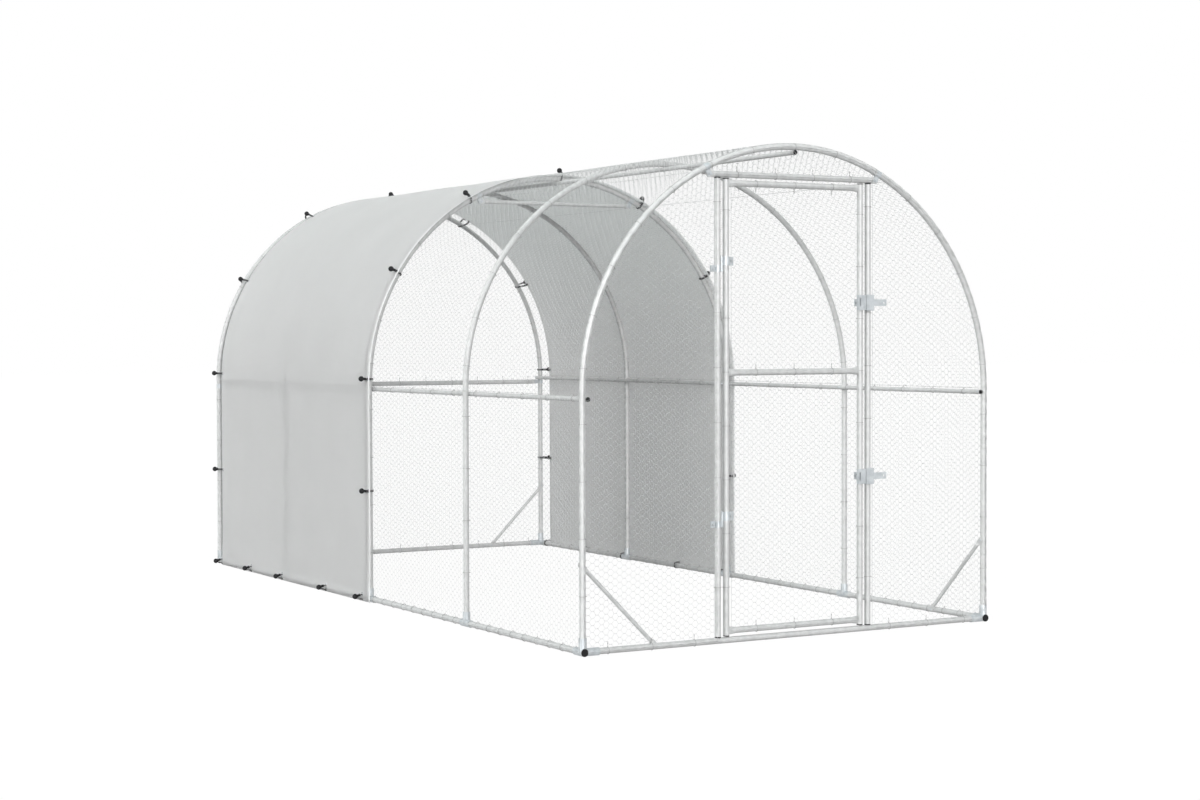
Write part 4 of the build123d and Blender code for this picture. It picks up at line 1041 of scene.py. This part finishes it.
tie_paths = []
for y in HOOP_YS:
    tie_paths += arch_ties(y)
    for side in SIDES:
        tie_paths += leg_ties(side, y)
for side in SIDES:
    tie_paths += long_rail_ties(side)
    tie_paths += front_side_ties(side)
tie_paths += cross_ties(POST_X, FRONT_Y, TIE_Z)
tie_paths += cross_ties(HOOP_R, REAR_Y, BASE_Z)
tie_paths += cross_ties(HOOP_R, REAR_Y, middle("rear_mid_rail").z)
frame_ties = add_curve("netting_ties", tie_paths, TIE_WIRE_R, tie_wire)
settle(frame_ties, "frame", "netting_wire")

door_paths = []
for word, way in (("top", -UP), ("mid", UP), ("bottom", UP)):
    z = middle(f"door_{word}_rail").z
    rail = [(-STILE_X + DOOR_TIE_INSET, FRONT_Y, z), (STILE_X - DOOR_TIE_INSET, FRONT_Y, z)]
    door_paths += tie_row(*rail, CROSS_TIE_STEP, way, TUBE_R)
for side in SIDES:
    stile = [(side * STILE_X, FRONT_Y, LEG_TIE_LOW), (side * STILE_X, FRONT_Y, DOOR_HIGH.z)]
    door_paths += tie_row(*stile, HOOP_TIE_STEP, (-side, 0, 0), TUBE_R, SHORT_TAIL)
door_ties = add_curve("door_netting_ties", door_paths, TIE_WIRE_R, tie_wire)
settle(door_ties, "door", "netting_wire")


# Floor and surroundings

def seen_ray(tree):
    """One for rays that the camera sees straight, in metal or through glass"""
    path = tree.nodes.new("ShaderNodeLightPath")
    total = path.outputs["Is Camera Ray"]
    for name in ("Is Glossy Ray", "Is Transmission Ray"):
        most = tree.nodes.new("ShaderNodeMath")
        most.operation = "MAXIMUM"
        tree.links.new(total, most.inputs[0])
        tree.links.new(path.outputs[name], most.inputs[1])
        total = most.outputs["Value"]
    return total


def stage_finish():
    """White ground that keeps a faint shadow and shows white to the camera and in reflections"""
    finish = bpy.data.materials.new("studio_floor")
    finish.use_nodes = True
    tree = finish.node_tree
    tree.nodes.clear()
    paint = tree.nodes.new("ShaderNodeBsdfDiffuse")
    paint.inputs["Color"].default_value = FLOOR_GREY
    glow = tree.nodes.new("ShaderNodeEmission")
    glow.inputs["Strength"].default_value = FLOOR_GLOW
    share = tree.nodes.new("ShaderNodeMath")
    share.operation = "MULTIPLY"
    share.inputs[1].default_value = FLOOR_WHITE_SHARE
    both = tree.nodes.new("ShaderNodeMixShader")
    out = tree.nodes.new("ShaderNodeOutputMaterial")
    tree.links.new(seen_ray(tree), share.inputs[0])
    tree.links.new(share.outputs["Value"], both.inputs["Fac"])
    tree.links.new(paint.outputs["BSDF"], both.inputs[1])
    tree.links.new(glow.outputs["Emission"], both.inputs[2])
    tree.links.new(both.outputs["Shader"], out.inputs["Surface"])
    return finish


def background(tree, colour, strength):
    """Even background of one colour"""
    shader = tree.nodes.new("ShaderNodeBackground")
    shader.inputs["Color"].default_value = colour
    shader.inputs["Strength"].default_value = strength
    return shader.outputs["Background"]


def add_world():
    """Soft light from all round, with white where the camera sees past the floor"""
    world = bpy.data.worlds.new("studio")
    bpy.context.scene.world = world
    world.use_nodes = True
    tree = world.node_tree
    tree.nodes.clear()
    both = tree.nodes.new("ShaderNodeMixShader")
    out = tree.nodes.new("ShaderNodeOutputWorld")
    tree.links.new(seen_ray(tree), both.inputs["Fac"])
    tree.links.new(background(tree, WORLD_TINT, WORLD_LIGHT), both.inputs[1])
    tree.links.new(background(tree, WHITE, 1.0), both.inputs[2])
    tree.links.new(both.outputs["Shader"], out.inputs["Surface"])


FLOOR_CORNERS = ((-1, -1), (1, -1), (1, 1), (-1, 1))
floor_points = [(x * FLOOR_HALF, y * FLOOR_HALF, 0.0) for x, y in FLOOR_CORNERS]
floor = add_mesh("floor", floor_points, [np.array([[0, 1, 2, 3]])], stage_finish())
floor.location.z = -FLOOR_DROP
add_world()


# Light and camera

def toward(azimuth, elevation):
    """Direction from the coop toward a place given as for the views, in radians"""
    level = cos(elevation)
    return Vector((sin(azimuth) * level, -cos(azimuth) * level, sin(elevation)))


def add_sun(name, azimuth, elevation, strength, spread, colour):
    """Soft lamp from a direction in degrees"""
    lamp = bpy.data.lights.new(name, "SUN")
    lamp.color = colour
    lamp.energy = strength
    lamp.angle = radians(spread)
    sun = bpy.data.objects.new(name, lamp)
    sun.rotation_mode = "QUATERNION"
    sun.rotation_quaternion = toward(radians(azimuth), radians(elevation)).to_track_quat("Z", "Y")
    bpy.context.scene.collection.objects.link(sun)


def add_camera():
    """Camera at the photo's place, turned and rolled as in the photo"""
    back = toward(CAMERA_AZIMUTH, CAMERA_ELEVATION)
    level_right = (-back).cross(Vector(UP)).normalized()
    level_up = back.cross(level_right)
    right = cos(CAMERA_ROLL) * level_right + sin(CAMERA_ROLL) * level_up
    up = cos(CAMERA_ROLL) * level_up - sin(CAMERA_ROLL) * level_right
    lens = bpy.data.cameras.new("camera")
    lens.sensor_fit = "HORIZONTAL"
    lens.sensor_width = SENSOR
    lens.lens = CAMERA_LENS
    lens.clip_end = CAMERA_FAR
    camera = bpy.data.objects.new("camera", lens)
    camera.matrix_world = Matrix.Translation(CAMERA_AT) @ Matrix((right, up, back)).transposed().to_4x4()
    bpy.context.scene.collection.objects.link(camera)
    bpy.context.scene.camera = camera


add_sun("key", azimuth=-18.0, elevation=6.0, strength=3.55, spread=40.0, colour=(1.0, 0.99, 0.99))
add_sun("left_fill", azimuth=-95.0, elevation=20.0, strength=2.05, spread=50.0, colour=(1.0, 1.0, 1.0))
add_sun("overhead", azimuth=-60.0, elevation=72.0, strength=0.16, spread=60.0, colour=(0.20, 1.0, 0.80))
add_camera()
bpy.context.scene.view_settings.view_transform = "Standard"
